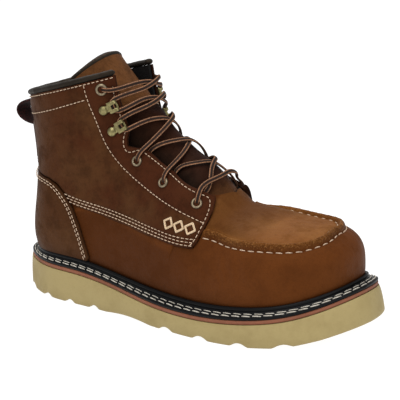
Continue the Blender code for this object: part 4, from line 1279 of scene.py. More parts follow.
# Heel panel: its grid, lift, round edge, tones and ripple.
COUNTER_GRID = ((-61.6, -49.0, 60), (-49.0, -36.9, 50))
COUNTER_GRID_ROWS = 40
COUNTER_LIFT = PANEL_LIFT + 0.5
COUNTER_OVER_BEAD = 0.6
COUNTER_LEAST = 0.004
COUNTER_EDGE = (1.7, 1.9)
COUNTER_EDGE_DARK = (0.8, 0.8)
COUNTER_FOOT_DARK = 0.5
COUNTER_FOOT_FADE = 3.0
COUNTER_RIPPLE = (40.0, 0.3)
COUNTER_STITCH = 1.4


def make_counter():
    """The heel panel; gives its stitch rows."""
    def rim(x):
        return bead_top(x) + COUNTER_OVER_BEAD

    rows = []
    skins = []
    stations = graded(*COUNTER_GRID)
    for side in SIDES:
        for distance in COUNTER_ROWS:
            station, depth = inset_line(COUNTER_TOP, distance)
            kept = station < fan(COUNTER_SEWN_TO)
            points, normals = on_form(station[kept], depth[kept], side, set_in=False)
            at_seam = np.abs(points[:, 1]) < BACK_SEAM_CLEAR
            first = max(int(at_seam.sum()) - 1, 0)
            rows.append((points[first:], normals[first:]))
        low = lower_turn(stations, side, rim)
        high = np.maximum(turn_at(stations, line_depth(COUNTER_TOP, stations), side), low + COUNTER_LEAST)
        turn = panel_turns(stations, low, high, side, COUNTER_GRID_ROWS)
        skins.append(form(np.broadcast_to(stations, turn.shape), turn, side))
    edge = np.concatenate([np.concatenate([skin[-1], skin[:, -1]]) for skin in skins])
    sewn_line = np.concatenate([points for points, _ in rows])
    grids = []
    for side, skin in zip(SIDES, skins):
        distance = distance_to(skin, edge)
        sewn = distance_to(skin, sewn_line)
        lift = panel_face(COUNTER_LIFT, distance, sewn, *COUNTER_EDGE)
        lift = lift + ripple(skin, *COUNTER_RIPPLE) * smoothstep(0.0, RIPPLE_CLEAR, distance)
        shade = panel_shade(distance, sewn, *COUNTER_EDGE_DARK)
        shade = np.maximum(shade, COUNTER_FOOT_DARK * near_welt(skin, COUNTER_FOOT_FADE))
        grids.append((lifted(skin, lift), lifted(skin, PANEL_GAP), {"shade": shade}, side > 0))
    add_sheet("counter_leather", grids, ("counter",), "shaft_leather", ("counter",))
    return [(points, normals, COUNTER_STITCH) for points, normals in rows]


# Collar: steps along each half, puffs of its padding, round ends and fullness.
COLLAR_STEPS = 90
COLLAR_SIDES = 18
ROLL_SHARP = 70.0
COLLAR_IN = 0.1
COLLAR_PUFFS = ((0.035, 17.0), (0.02, 6.7))
COLLAR_END = 2.5
COLLAR_END_LEAST = 0.08
COLLAR_FULL = 1.12


def make_collar():
    """Padded roll on the top edge, from one throat corner round the back to the other."""
    at = at_station(COLLAR_STATION)
    slope = math.radians(-COLLAR_STATION)
    rise = np.array([-math.cos(slope), 0.0, math.sin(slope)])
    halves = []
    for side in SIDES:
        top = float(line_turn(THROAT_EDGE, at, side)[0])
        halves.append(form(at, top * (1.0 - np.linspace(0.0, 1.0, COLLAR_STEPS)), side))
    path = mirrored(halves)
    facing = outward(path)
    across = unit(facing - (facing @ rise)[:, None] * rise)
    path = path + rise * (COLLAR_RISE + GAP) - across * COLLAR_IN
    run = run_of(path)
    puff = 1.0
    for size, length in COLLAR_PUFFS:
        puff = puff + size * np.sin(2.0 * math.pi * run / length)
    puff = puff * np.sqrt(np.clip(np.minimum(run, run[-1] - run) / COLLAR_END, COLLAR_END_LEAST, 1.0))
    up = np.broadcast_to(rise, path.shape)
    points, faces = tube(path, across, up, COLLAR_HALF * puff, COLLAR_RISE * COLLAR_FULL * puff, COLLAR_SIDES)
    piece = add_piece("collar_roll", points, faces, ("collar",), "collar_leather", ("collar",),
                      sharp=ROLL_SHARP)


# Tongue: its grid, the binding of its top and the rows across it where its tan facing ends.
TONGUE_GRID = ((TONGUE_TOP, -55.0, 60), (-55.0, -2.5, 90))
TONGUE_ROWS = 22
TONGUE_ROUND_FROM = -62.0
TONGUE_FLAT_FROM = -50.0
TONGUE_BAND = -60.5
TONGUE_BAND_SINK = 0.8
TONGUE_BAND_HALF = 1.6
TONGUE_SEWN_FROM = 0.15
TONGUE_SEWN_STEPS = 60
TONGUE_SEWN_LIFT = 0.3
TONGUE_BAND_ROWS = (-1.4, 1.4)
TONGUE_TAN_FROM = -61.5
TONGUE_FOOT = (-16.0, -10.0)
BINDING_BELOW = 0.8
BINDING_STEPS = 90
BINDING_SLOPE = 1.45
BINDING_HALF = (2.5, 1.9)
BINDING_SIDES = 14
CROWN_RISE = 0.48
FOLD_DEEP = 0.35
FOLD_ACROSS = 3.2
FOLD_ALONG = 0.04
TAN_FADE = 1.2
FOOT_TAN = 0.75
# Darker lower tongue, and painted shade towards its edges where the quarters lie over it.
TONGUE_DARK_AND_SHADE = (0.3, 0.65)
FLAP_SHADE_FADE = (0.70, 0.25)
TONGUE_DARK_MOST = 0.95


def tongue_grid(side, stations, share):
    """Outer skin of the tongue and the way it leans, at stations and shares from its edge to the ridge."""
    at = fan(table(TONGUE_COLUMNS, TONGUE, "station"))
    edge = np.interp(stations, at, table(TONGUE_COLUMNS, TONGUE, "edge_turn"))
    lean = np.interp(stations, at, table(TONGUE_COLUMNS, TONGUE, "lean"))
    turn = edge + (1.0 - edge) * share
    near_top = ramp(fan(TONGUE_ROUND_FROM), fan(TONGUE_TOP), stations)
    station = stations - fan(-TONGUE_DROP) * near_top * (1.0 - share) ** TONGUE_ROUND
    skin = form(station, turn, side)
    ray = unit((skin - (PIVOT_X, 0.0, PIVOT_Z)) * (1.0, 0.0, 1.0))
    return skin, ray * lean[:, None]


def tongue_line(station, share, lift):
    """Path across the tongue at one station, lifted from the form."""
    halves = []
    for side in SIDES:
        skin, back = tongue_grid(side, fan(np.array([station])), share)
        halves.append((lifted(skin, lift) + back)[:, 0])
    return mirrored(halves)


def make_tongue():
    """The tongue and its binding; gives the stitch rows across it."""
    stations = graded(*TONGUE_GRID)
    share = np.linspace(0.0, 1.0, TONGUE_ROWS)[:, None]
    everywhere = np.broadcast_to(stations, (TONGUE_ROWS, len(stations)))
    tan = smoothstep(fan(TONGUE_TAN_FROM) + TAN_FADE, fan(TONGUE_TAN_FROM) - TAN_FADE, everywhere)
    crown = CROWN_RISE * np.sin(0.5 * math.pi * share)
    crown = crown * smoothstep(fan(TONGUE_ROUND_FROM), fan(TONGUE_FLAT_FROM), stations)
    folds = FOLD_DEEP * np.sin(2.0 * math.pi * (share * FOLD_ACROSS + FOLD_ALONG * stations))
    folds = folds * (1.0 - share) * (1.0 - tan)
    band = TONGUE_BAND_SINK * bell(stations - fan(TONGUE_BAND), TONGUE_BAND_HALF)
    sunk = -TONGUE_SINK + crown + folds - band
    foot = FOOT_TAN * smoothstep(*fan(TONGUE_FOOT), everywhere)
    # Darker over the lower tongue, with painted shade towards its edges under the quarters.
    dark_and_shade = TONGUE_DARK_AND_SHADE[0] + TONGUE_DARK_AND_SHADE[1] * smoothstep(*FLAP_SHADE_FADE, share)
    dark_and_shade = dark_and_shade * (1.0 - tan) * (1.0 - foot)
    tones = {"region": np.maximum(tan, foot), "shade": np.clip(dark_and_shade, 0.0, TONGUE_DARK_MOST)}
    grids = []
    for side in SIDES:
        skin, back = tongue_grid(side, stations, share)
        inner = lifted(skin, -TONGUE_SINK - TONGUE_THICK) + back
        grids.append((lifted(skin, sunk) + back, inner, tones, side > 0))
    add_sheet("tongue_leather", grids, ("tongue", "lining"), "shaft_leather", ("tongue",))
    path = tongue_line(TONGUE_TOP + BINDING_BELOW, share, -TONGUE_SINK - 0.5 * TONGUE_THICK)
    path = along(path, path, np.linspace(0.0, run_of(path)[-1], BINDING_STEPS))
    ahead = heading(path)
    up = unit(np.array([-math.cos(BINDING_SLOPE), 0.0, math.sin(BINDING_SLOPE)]))
    across = unit(np.cross(ahead, np.broadcast_to(up, path.shape)))
    points, faces = tube(path, across, unit(np.cross(across, ahead)), *BINDING_HALF, BINDING_SIDES)
    add_piece("tongue_binding", points, faces, ("collar",), "collar_leather", sharp=ROLL_SHARP)
    sewn_share = np.linspace(TONGUE_SEWN_FROM, 1.0, TONGUE_SEWN_STEPS)[:, None]
    sewn_lift = -TONGUE_SINK + TONGUE_SEWN_LIFT
    rows = [tongue_line(TONGUE_BAND + offset, sewn_share, sewn_lift) for offset in TONGUE_BAND_ROWS]
    return [(row, outward(row), 0.0) for row in rows]


# Pull loop: where it starts, how its ends lie, and how square strips of webbing and brass are.
LOOP_STATION = -72.0
LOOP_NECK = 3.0
LOOP_FOOT = 1.5
LOOP_STEPS = 60
LOOP_SIDES = 28
STRIP_SQUARE = 0.35


def make_pull_loop():
    back_x = form(fan(LOOP_STATION), np.array(0.0), -1)[0] - PANEL_LIFT - GAP - LOOP_SEAT
    turns = np.linspace(0.5 * math.pi, 1.5 * math.pi, LOOP_STEPS)
    middle_z = 0.5 * (LOOP_TOP_Z + LOOP_LOW_Z)
    half = 0.5 * (LOOP_TOP_Z - LOOP_LOW_Z)
    bow_x = back_x - LOOP_NECK + (LOOP_REACH - LOOP_NECK) * np.cos(turns)
    x = np.concatenate([[back_x], bow_x, [back_x - LOOP_FOOT]])
    z = np.concatenate([[LOOP_TOP_Z], middle_z + half * np.sin(turns), [LOOP_LOW_Z]])
    path = np.stack([x, np.zeros_like(x), z], -1)
    across = np.broadcast_to(np.array([0.0, 1.0, 0.0]), path.shape)
    normal = np.cross(heading(path), across)
    half_thick = 0.5 * LOOP_THICK
    path = path + normal * half_thick
    points, faces = tube(path, across, normal, LOOP_HALF, half_thick, LOOP_SIDES, STRIP_SQUARE)
    add_piece("pull_loop_webbing", points, faces, ("webbing",), "webbing", ("pull_loop",))


# Eyelet in section from its hole to its rim, and the dark dish in it: radius and height, mm.
EYELET_RINGS = ((2.15, -0.9), (2.25, 0.3), (2.55, 0.95), (3.05, 1.15),
                (3.55, 0.95), (3.95, 0.5), (4.15, -0.1), (4.10, -0.6))
DISH_RINGS = ((2.2, -0.5), (1.4, -0.75), (0.5, -0.85), (0.5, -1.0), (2.2, -1.0))
EYELET_SIDES = 40
EYELET_DARK = 0.7
EYELET_DARK_INSIDE = 2.4
EYELET_DARK_BELOW = 0.2
TOP_EYELET_SCALE = 1.12
FACE_LIFT = PANEL_LIFT + GAP + FITTING_SEAT

# Lace hook in profile, from the rivet out to the bend and back, mm: points, place aside, half width.
HOOK_HALF = 3.8
HOOK_JAW = ((4.6, 0.0), (5.8, 0.15), (6.8, 0.8), (7.3, 2.0), (6.9, 3.3), (5.8, 3.95), (4.2, 4.1), (2.2, 4.1))
JAW_ASIDE = 2.55
JAW_HALF = 1.2
HOOK_STRIPS = (
    (((0.2, 0.0), (2.8, 0.0), (5.4, 0.0)), 0.0, HOOK_HALF),
    (((-5.0, 0.0), (-2.0, 0.0), (1.0, 0.0)), 0.0, 2.2),
    (HOOK_JAW, -JAW_ASIDE, JAW_HALF),
    (HOOK_JAW, JAW_ASIDE, JAW_HALF),
    (((2.0, 4.1), (2.8, 4.1), (3.6, 4.1)), 0.0, HOOK_HALF),
    (((6.2, 0.4), (6.9, 1.0), (7.2, 1.8)), 0.0, HOOK_HALF),
)
HOOK_THICK = 1.1
HOOK_SCALE = 1.12
HOOK_DARK = 0.75
HOOK_DARK_FADE = (1.0, 0.2)
RIVET_RINGS = ((0.05, 2.2), (1.2, 2.1), (2.3, 1.8), (3.1, 1.3), (3.5, 0.7), (3.5, -0.3), (0.05, -0.3))
RIVET_BACK = -3.9
RIVET_SIDES = 32
STRIP_SIDES = 16
SMALL_TURN = 0.02


def fitting_place(station, depth, side):
    """Point on the form, outward normal and the direction up to the throat's edge."""
    at = at_station(station)
    turn = turn_at(at, depth + medial_set(at, side), side)
    point = form(at, turn, side)
    ahead = form(at, turn + SMALL_TURN, side) - point
    normal = outward(point)[0]
    ahead = unit(ahead[0] - normal * np.dot(ahead[0], normal))
    return point[0], normal, ahead


def lathe(base, normal, ahead, rings, sides):
    """Points of rings turned about a normal."""
    turns = round_turns(sides)[:, None]
    circle = np.cos(turns) * ahead + np.sin(turns) * np.cross(normal, ahead)
    return np.concatenate([base + circle * radius + normal * height for radius, height in rings])


def make_eyelet(name, node, point, normal, ahead, scale):
    base = point + normal * FACE_LIFT
    parts = []
    for rings in (EYELET_RINGS, DISH_RINGS):
        scaled = [(radius * scale, height) for radius, height in rings]
        parts.append((lathe(base, normal, ahead, scaled, EYELET_SIDES), ring_faces(len(rings), EYELET_SIDES)))
    points, faces = join(parts)
    face_paint = [0] * len(parts[0][1]) + [1] * len(parts[1][1])
    dark = [radius < EYELET_DARK_INSIDE or height < EYELET_DARK_BELOW for radius, height in EYELET_RINGS]
    dark += [False] * len(DISH_RINGS)
    tones = {"shade": EYELET_DARK * np.repeat(dark, EYELET_SIDES)}
    add_piece(name, points, faces, ("bronze", "hole"), "brass", (node,), tones, face_paint)


def make_hook(name, node, point, normal, ahead):
    aside = np.cross(normal, ahead)
    base = point + normal * FACE_LIFT
    parts = []
    for profile, centre, half in HOOK_STRIPS:
        flat = np.array(profile) * HOOK_SCALE
        run = run_of(flat)
        at = np.linspace(0.0, run[-1], 4 * len(flat))
        curve = np.stack([spline(run, flat[:, 0], at), spline(run, flat[:, 1], at)], -1)
        path = base + curve[:, :1] * ahead + (curve[:, 1:] + 0.5 * HOOK_THICK) * normal
        path = path + aside * centre * HOOK_SCALE
        across = np.broadcast_to(aside, path.shape)
        up = unit(np.cross(heading(path), across))
        parts.append(tube(path, across, up, half * HOOK_SCALE, 0.5 * HOOK_THICK, STRIP_SIDES, STRIP_SQUARE))
    rivet = lathe(base + ahead * RIVET_BACK, normal, ahead, RIVET_RINGS, RIVET_SIDES)
    parts.append((rivet, grid_faces(len(RIVET_RINGS), RIVET_SIDES, closed=True)))
    points, faces = join(parts)
    shade = HOOK_DARK * smoothstep(*HOOK_DARK_FADE, (points - base) @ normal)
    add_piece(name, points, faces, ("brass",), "brass", (node,), {"shade": shade})


def make_fittings():
    for side, word in SIDE_WORDS.items():
        for name, station, depth in FITTINGS:
            node = name + "_" + word
            spot = fitting_place(station, depth, side)
            if name.startswith("eyelet"):
                scale = TOP_EYELET_SCALE if name == "eyelet_4" else 1.0
                make_eyelet(name + "_ring_" + word, node, *spot, scale)
            else:
                make_hook(name + "_bracket_" + word, node, *spot)


# Lace: half sizes, and how high over the form it runs at the fittings and in the middle, mm.
LACE_HALF_WIDE = 1.8
LACE_HALF_THICK = 0.85
LACE_SIDES = 18
LACE_STEP = 0.9
LACE_STEPS_LEAST = 12
LACE_SHARP = 75.0
LACE_IN_HOLE = 1.2
LACE_OVER_RIM = 4.6
LACE_UNDER = -2.2
LACE_ABOVE = 0.8
LACE_BELOW = -0.9
LACE_LEAN = 0.9
BAR_MIDDLE = 4.2
JAW_RISE = 2.4
JAW_SIDE = 4.6
JAW_IN = 4.4

# Ends of a strand. Round a hook: further in, rise, share of the way aside. Out of an eyelet's hole over
# its rim: share of the lean, depth and lift. At the throat's edge after that, and under it: depth and lift.
ROUND_HOOK = ((0.0, 0.0, 0.0), (1.4, 0.0, 0.8), (5.0, -0.6, 1.0))
OVER_RIM = ((0.0, 0.0, LACE_IN_HOLE), (0.5, -2.4, LACE_OVER_RIM - 0.5), (1.0, -4.6, LACE_OVER_RIM))
OVER_EDGE = (1.8, -1.0, 3.4)
UNDER_EDGE = ((1.2, LACE_UNDER), (-2.0, -1.2))
LACE_SHARES = (0.3, 0.5, 0.7)
STRIPE_AT = 0.70
STRIPE_WIDE = 0.17

# Crossings of the lace: each leaves the lower fittings and reaches the upper ones.
CROSSINGS = (
    ("eyelet_1", "eyelet_2"),
    ("eyelet_2", "eyelet_3"),
    ("eyelet_3", "hook_1"),
    ("hook_1", "hook_2"),
    ("hook_2", "eyelet_4"),
)
FITTING_AT = {name: (station, depth) for name, station, depth in FITTINGS}


def lace_point(station, depth, side, lift):
    at = at_station(station)
    turn = turn_at(at, depth + medial_set(at, side), side)
    return lifted(form(at, turn, side), lift)[0]


def lace_end(name, side, over, low_end):
    """Points of a strand's end, from the fitting towards the middle."""
    station, depth = FITTING_AT[name]
    edge = float(line_depth(THROAT_EDGE, fan(station)))
    way = 1.0 if low_end else -1.0
    if name.startswith("hook"):
        point, normal, ahead = fitting_place(station, depth, side)
        aside = np.cross(normal, ahead)
        higher = at_station(station - 1.0)
        up = form(higher, turn_at(higher, depth, side), side)[0] - point
        aside = aside * np.sign(np.dot(aside, up)) * way * JAW_SIDE
        base = point + normal * FACE_LIFT
        return [base + ahead * (JAW_IN + further) + normal * (JAW_RISE + rise) + aside * share
                for further, rise, share in ROUND_HOOK]
    if not over:
        return [lace_point(station, edge + deeper, side, lift) for deeper, lift in UNDER_EDGE]
    lean = -way * LACE_LEAN
    points = [lace_point(station + share * lean, depth + deeper, side, lift)
              for share, deeper, lift in OVER_RIM]
    share, deeper, lift = OVER_EDGE
    return points + [lace_point(station + share * lean, edge + deeper, side, lift)]


def lace_middle(low, high, side, lift):
    """Points over the tongue between a fitting on one side and one on the other."""
    ends = []
    for name, at_side in ((low, side), (high, -side)):
        at = at_station(FITTING_AT[name][0])
        ends.append((at[0], at_side * (1.0 - float(line_turn(THROAT_EDGE, at, at_side)[0]))))
    share = np.array(LACE_SHARES)
    station, aside = (first + (last - first) * share for first, last in zip(*ends))
    turn = 1.0 - np.abs(aside)
    skin = np.where((aside < 0.0)[:, None], form(station, turn, -1), form(station, turn, 1))
    return list(lifted(skin, lift))


def lace_strand(low, high, side, lift, over_low, over_high):
    """Points of a crossing from a lower fitting over the middle to an upper one."""
    points = lace_end(low, side, over_low, True) + lace_middle(low, high, side, lift)
    return points + lace_end(high, -side, over_high, False)[::-1]


def lace_tube(points):
    """Flat cord through points, and its stripe tone."""
    points = np.array(points)
    run = run_of(points)
    at = np.linspace(0.0, run[-1], max(int(run[-1] / LACE_STEP), LACE_STEPS_LEAST))
    path = np.stack([spline(run, points[:, axis], at) for axis in range(3)], -1)
    ahead = heading(path)
    up = outward(path)
    up = unit(up - np.sum(up * ahead, axis=1, keepdims=True) * ahead)
    tube_points, faces = tube(path, np.cross(ahead, up), up, LACE_HALF_WIDE, LACE_HALF_THICK, LACE_SIDES)
    stripe = np.exp(-((np.abs(np.cos(round_turns(LACE_SIDES))) - STRIPE_AT) / STRIPE_WIDE) ** 4)
    return tube_points, faces, np.tile(stripe, len(path))


def make_lace():
    """The lace: a bar over the lowest eyelets, crossings between eyelets, and the runs round the hooks."""
    first = CROSSINGS[0][0]
    straight = lace_end(first, -1, True, True) + lace_middle(first, first, -1, BAR_MIDDLE)
    strands = [straight + lace_end(first, 1, True, True)[::-1]]
    for side in SIDES:
        lift = LACE_ABOVE if side < 0 else LACE_BELOW
        for low, high in CROSSINGS[:2]:
            strands.append(lace_strand(low, high, side, lift, low != first, False))
            lift = LACE_ABOVE + LACE_BELOW - lift
        points = []
        at_side = side
        for low, high in CROSSINGS[2:]:
            points += lace_strand(low, high, at_side, lift, True, True)[1 if points else 0:]
            at_side = -at_side
            lift = LACE_ABOVE + LACE_BELOW - lift
        strands.append(points)
    tubes = [lace_tube(points) for points in strands]
    points, faces = join([(made[0], made[1]) for made in tubes])
    tones = {"stripe": np.concatenate([made[2] for made in tubes])}
    nodes = ("lace_bar", "lace_1", "lace_2", "lace_3", "lace_4", "lace_5")
    add_piece("lace_cord", points, faces, ("lace",), "cord", nodes, tones, sharp=LACE_SHARP)


# Sole: how its rays are spread, its edge shapes and the welt's stitching, mm.
SOLE_RAYS = (26, 150, 40)
INSOLE_RAYS = (16, 60, 22)
SOLE_SIDE_ROWS = 9
SOLE_BULGE = 0.3
SOLE_STEEP = 0.8
SOLE_EDGE_ROUND = 1.6
SOLE_TOP_SHARES = (0.0, 0.5, 0.9)
SOLE_ROUND_TURNS = (0.35, 0.7, 1.0)
SOLE_UNDER_SHARES = (0.93, 0.8, 0.65, 0.5, 0.35, 0.2, 0.0)
# How dark the sole gets towards its bottom, from what height, and how fast that fades upwards.
SOLE_LOW_DARK = 0.5
SOLE_LOW_DARK_FROM = 1.0
SOLE_LOW_DARK_FADE = 2.5
SOLE_SHARP = 60.0
MIDSOLE_ROUND = 0.4
MIDSOLE_SHARES = (0.0, 0.6)
INSOLE_ROUND = 0.6
INSOLE_TOP_SHARES = (0.0, 0.4, 0.8)
INSOLE_LOW_SHARES = (1.0, 0.5, 0.0)
WELT_EDGE_THICK = 2.2
WELT_EDGE_CUT = 0.4
WELT_LIP = 0.5
WELT_FACE_RISE = 0.3
WELT_FACE_SHARES = (0.0, 0.25, 0.5, 0.75, 1.0)
WELT_FACE_LEAST = 1.2
BEAD_CLEAR = 0.3
ROW_ACROSS = 0.1
BEAD_RADIUS = 1.55
BEAD_SINK = 0.2
BEAD_DEGREES = (160, 135, 110, 85, 60, 35, 10, -20, -50)
WELT_STITCH_PITCH = 8.4
WELT_STITCH_LONG = 6.9
WELT_ROWS = ((0.24, 0.5, 0.34), (0.74, 0.0, 0.45))


def raised(height, by):
    """The height a distance higher."""
    return lambda x: height(x) + by


def between(low, high, share):
    """The height at a share of the way from one to another."""
    return lambda x: low(x) + (high(x) - low(x)) * share


def make_sole():
    """Outsole, midsole and welt; gives the welt's stitch rows."""
    rays = rim_rays(*SOLE_RAYS)
    edge = reach(rays, in_sole)
    inset = edge - SOLE_INSET
    flare = TOE_FLARE * np.maximum(rays[1], 0.0)
    top = inset - flare
    loops = [loop_at(rays, top * share, wedge_top) for share in SOLE_TOP_SHARES]
    for share in np.linspace(0.0, 1.0, SOLE_SIDE_ROWS):
        out = top + (edge - top) * share ** SOLE_STEEP + SOLE_BULGE * math.sin(math.pi * share)
        loops.append(loop_at(rays, out, between(wedge_top, raised(ground, SOLE_EDGE_ROUND), share)))
    for turn in SOLE_ROUND_TURNS:
        angle = 0.5 * math.pi * turn
        out = edge - SOLE_EDGE_ROUND * (1.0 - math.cos(angle))
        loops.append(loop_at(rays, out, raised(ground, SOLE_EDGE_ROUND * (1.0 - math.sin(angle)))))
    under = edge - SOLE_EDGE_ROUND
    loops += [loop_at(rays, under * share, ground) for share in SOLE_UNDER_SHARES]
    points, faces = lofted(loops)
    # Darker towards the bottom of the sole.
    low_dark = np.exp(-np.maximum(points[:, 2] - SOLE_LOW_DARK_FROM, 0.0) / SOLE_LOW_DARK_FADE) * SOLE_LOW_DARK
    add_piece("wedge_outsole", points, faces, ("wedge",), "outsole_rubber", ("outsole",), {"shade": low_dark},
              sharp=SOLE_SHARP)

    rim = inset - WELT_INSET - flare
    low = raised(wedge_top, GAP)
    loops = [loop_at(rays, rim * share, midsole_top) for share in MIDSOLE_SHARES]
    loops.append(loop_at(rays, rim - MIDSOLE_ROUND, midsole_top))
    loops.append(loop_at(rays, rim, raised(midsole_top, -MIDSOLE_ROUND)))
    loops.append(loop_at(rays, rim, raised(low, MIDSOLE_ROUND)))
    loops.append(loop_at(rays, rim - MIDSOLE_ROUND, low))
    loops += [loop_at(rays, rim * share, low) for share in MIDSOLE_SHARES[::-1]]
    add_piece("rust_midsole", *lofted(loops), ("rust",), "midsole_rubber", ("midsole",))
    return make_welt(rays, rim)


def make_welt(rays, rim):
    """Welt: round bead against the upper, a sloping face with two stitch rows, and a plain edge."""
    bead_middle = raised(bead_top, -BEAD_RADIUS)
    fit_low = reach(rays, in_form(feather)) + WELT_FIT
    fit_bead = reach(rays, in_form(bead_middle)) + WELT_FIT
    loops = [loop_at(rays, fit_low, feather), loop_at(rays, fit_bead, bead_middle)]
    centre = fit_bead + BEAD_RADIUS - BEAD_SINK
    for angle in np.radians(BEAD_DEGREES):
        height = raised(bead_middle, BEAD_RADIUS * math.sin(angle))
        loops.append(loop_at(rays, centre + BEAD_RADIUS * math.cos(angle), height))
    foot = np.minimum(centre + BEAD_RADIUS + BEAD_CLEAR, rim - WELT_EDGE_CUT - WELT_FACE_LEAST)

    def face_loop(share):
        height = between(raised(welt_high, WELT_FACE_RISE), raised(feather, WELT_EDGE_THICK), share)
        return loop_at(rays, foot + (rim - WELT_EDGE_CUT - foot) * share, height)

    loops += [face_loop(share) for share in WELT_FACE_SHARES]
    loops.append(loop_at(rays, rim, raised(feather, WELT_EDGE_THICK - WELT_LIP)))
    loops.append(loop_at(rays, rim, raised(feather, WELT_EDGE_CUT)))
    loops.append(loop_at(rays, rim - WELT_EDGE_CUT, feather))
    faces = ring_faces(len(loops), len(rays[0]))
    add_piece("welt_strip", np.concatenate(loops), faces, ("welt",), "welt_rubber", ("welt",))
    rows = []
    for share, start, half in WELT_ROWS:
        path = face_loop(share)
        path = np.concatenate([path, path[:1]])
        across = face_loop(share + ROW_ACROSS)
        across = unit(np.concatenate([across, across[:1]]) - path)
        normal = unit(np.cross(across, heading(path)))
        rows.append((path, normal * np.sign(normal[:, 2:3]), start, half))
    return rows


def make_insole():
    rays = rim_rays(*INSOLE_RAYS)
    inside = reach(rays, in_form(feather)) - INSOLE_FIT
    low = raised(feather, INSOLE_LIFT)
    top = raised(low, INSOLE_THICK)
    loops = [loop_at(rays, inside * share, top) for share in INSOLE_TOP_SHARES]
    loops.append(loop_at(rays, inside - INSOLE_ROUND, top))
    loops.append(loop_at(rays, inside, raised(top, -INSOLE_ROUND)))
    loops += [loop_at(rays, inside * share, low) for share in INSOLE_LOW_SHARES]
    add_piece("footbed", *lofted(loops), ("footbed",), "insole_board", ("insole",))


# Shape of one stitch along its length: share, radius and rise as shares of their sizes.
STITCH_SHAPE = np.array([
    (-1.0, 0.35, -0.9), (-0.8, 0.85, 0.1), (-0.3, 1.0, 0.75),
    (0.3, 1.0, 0.75), (0.8, 0.85, 0.1), (1.0, 0.35, -0.9),
])
STITCH_SIDES = 7
STITCH_RISE = 0.3
STITCH_LIFT = 0.05
COUNTER_STITCH_LIFT = 0.35
SEAM_STITCH_LIFT = 0.25
SEAM_STITCH_RISE = 0.35
SEAM_STITCH_LONG = 4.8
SEAM_STITCH_HALF = 0.41
WELT_STITCH_LIFT = 0.15
WELT_STITCH_SLANT = 0.2
THREAD_SHARP = 80.0


def stitches(path, normal, lift, pitch, long, half, rise=STITCH_RISE, start=0.5, slant=0.0):
    """Row of thread: small arched strands a pitch apart along a path."""
    run = run_of(path)
    count = max(int(run[-1] / pitch), 1)
    step = run[-1] / count
    share, radius, arch = STITCH_SHAPE.T
    parts = []
    for i in range(count):
        at = np.clip((i + start) * step + share * 0.5 * long, 0.0, run[-1])
        points = along(path, path, at)
        up = unit(along(path, normal, at))
        ahead = unit(points[-1:] - points[:1])
        across = unit(np.cross(ahead, up))
        points = points + up * (lift + rise * arch[:, None]) + across * slant * share[:, None]
        parts.append(tube(points, across, up, half * radius, half * radius, STITCH_SIDES))
    return join(parts)


def make_stitches(sewn, seam, welt):
    """Rows on the panels with their share of the panel's lift, along the moc seam and on the welt."""
    panel = []
    for path, normal, share in sewn:
        lift = PANEL_LIFT * share + STITCH_LIFT + COUNTER_STITCH_LIFT * (share > 1.0)
        panel.append(stitches(path, normal, lift, STITCH_PITCH, STITCH_LONG, STITCH_HALF))
    roll = [stitches(path, normal, SEAM_STITCH_LIFT, PUCKER, SEAM_STITCH_LONG, SEAM_STITCH_HALF,
                     rise=SEAM_STITCH_RISE) for path, normal in seam]
    edge = [stitches(path, normal, WELT_STITCH_LIFT, WELT_STITCH_PITCH, WELT_STITCH_LONG, half,
                     start=start, slant=WELT_STITCH_SLANT) for path, normal, start, half in welt]
    add_piece("panel_stitches", *join(panel), ("thread",), "shaft_leather", sharp=THREAD_SHARP)
    add_piece("seam_stitches", *join(roll), ("thread",), "vamp_leather", sharp=THREAD_SHARP)
    add_piece("welt_stitches", *join(edge), ("welt_thread",), "welt_rubber", sharp=THREAD_SHARP)


# Ornament on each quarter: three linked diamonds of cord, their middles on the form and half sizes, mm.
DIAMONDS = ((-19.8, 136.2), (-16.1, 134.6), (-12.5, 133.4))
DIAMOND_HALF = (3.9, 4.2)
DIAMOND_STEPS = 8
DIAMOND_CORD = 0.8
DIAMOND_SIDES = 10
DIAMOND_LIFT = PANEL_LIFT + 0.35
LEVEL_SIZE = 40.0


def make_ornament():
    parts = []
    for side in SIDES:
        for station, depth in DIAMONDS:
            point, normal, up = fitting_place(station, depth, side)
            wide = np.cross(normal, up) * DIAMOND_HALF[0]
            high = up * DIAMOND_HALF[1]
            corners = (wide, high, -wide, -high, wide)
            shares = np.linspace(0.0, 1.0, DIAMOND_STEPS, endpoint=False)
            flat = []
            for a, b in zip(corners, corners[1:]):
                flat += [point + a + (b - a) * share for share in shares]
            flat = np.array(flat + flat[:2])
            facing = outward(flat)
            path = flat + facing * (1.0 - level(flat))[:, None] * LEVEL_SIZE + facing * DIAMOND_LIFT
            across = unit(np.cross(heading(path), facing))
            parts.append(tube(path, across, facing, DIAMOND_CORD, DIAMOND_CORD, DIAMOND_SIDES))
    add_piece("quarter_ornament", *join(parts), ("ornament",), "shaft_leather", sharp=THREAD_SHARP)


# Camera of the photo: distance, direction and focal length, its frame's middle in an image of 400 by 400.
IMAGE_SIZE = 400.0
CAMERA_TARGET = (0.0, 0.0, 80.0)
CAMERA_DISTANCE = 1200.0
CAMERA_AZIMUTH = 36.42
CAMERA_ELEVATION = 15.75
CAMERA_ROLL = -2.21
CAMERA_FOCAL = 1619.85
CAMERA_MIDDLE = (190.33, 203.16)
SENSOR = 36.0


def pose_matrix(right, up, back, spot):
    """Matrix of an object that looks along -back from a spot in metres."""
    matrix = np.eye(4)
    matrix[:3] = np.stack([right, up, back, spot], -1)
    return Matrix(matrix.tolist())


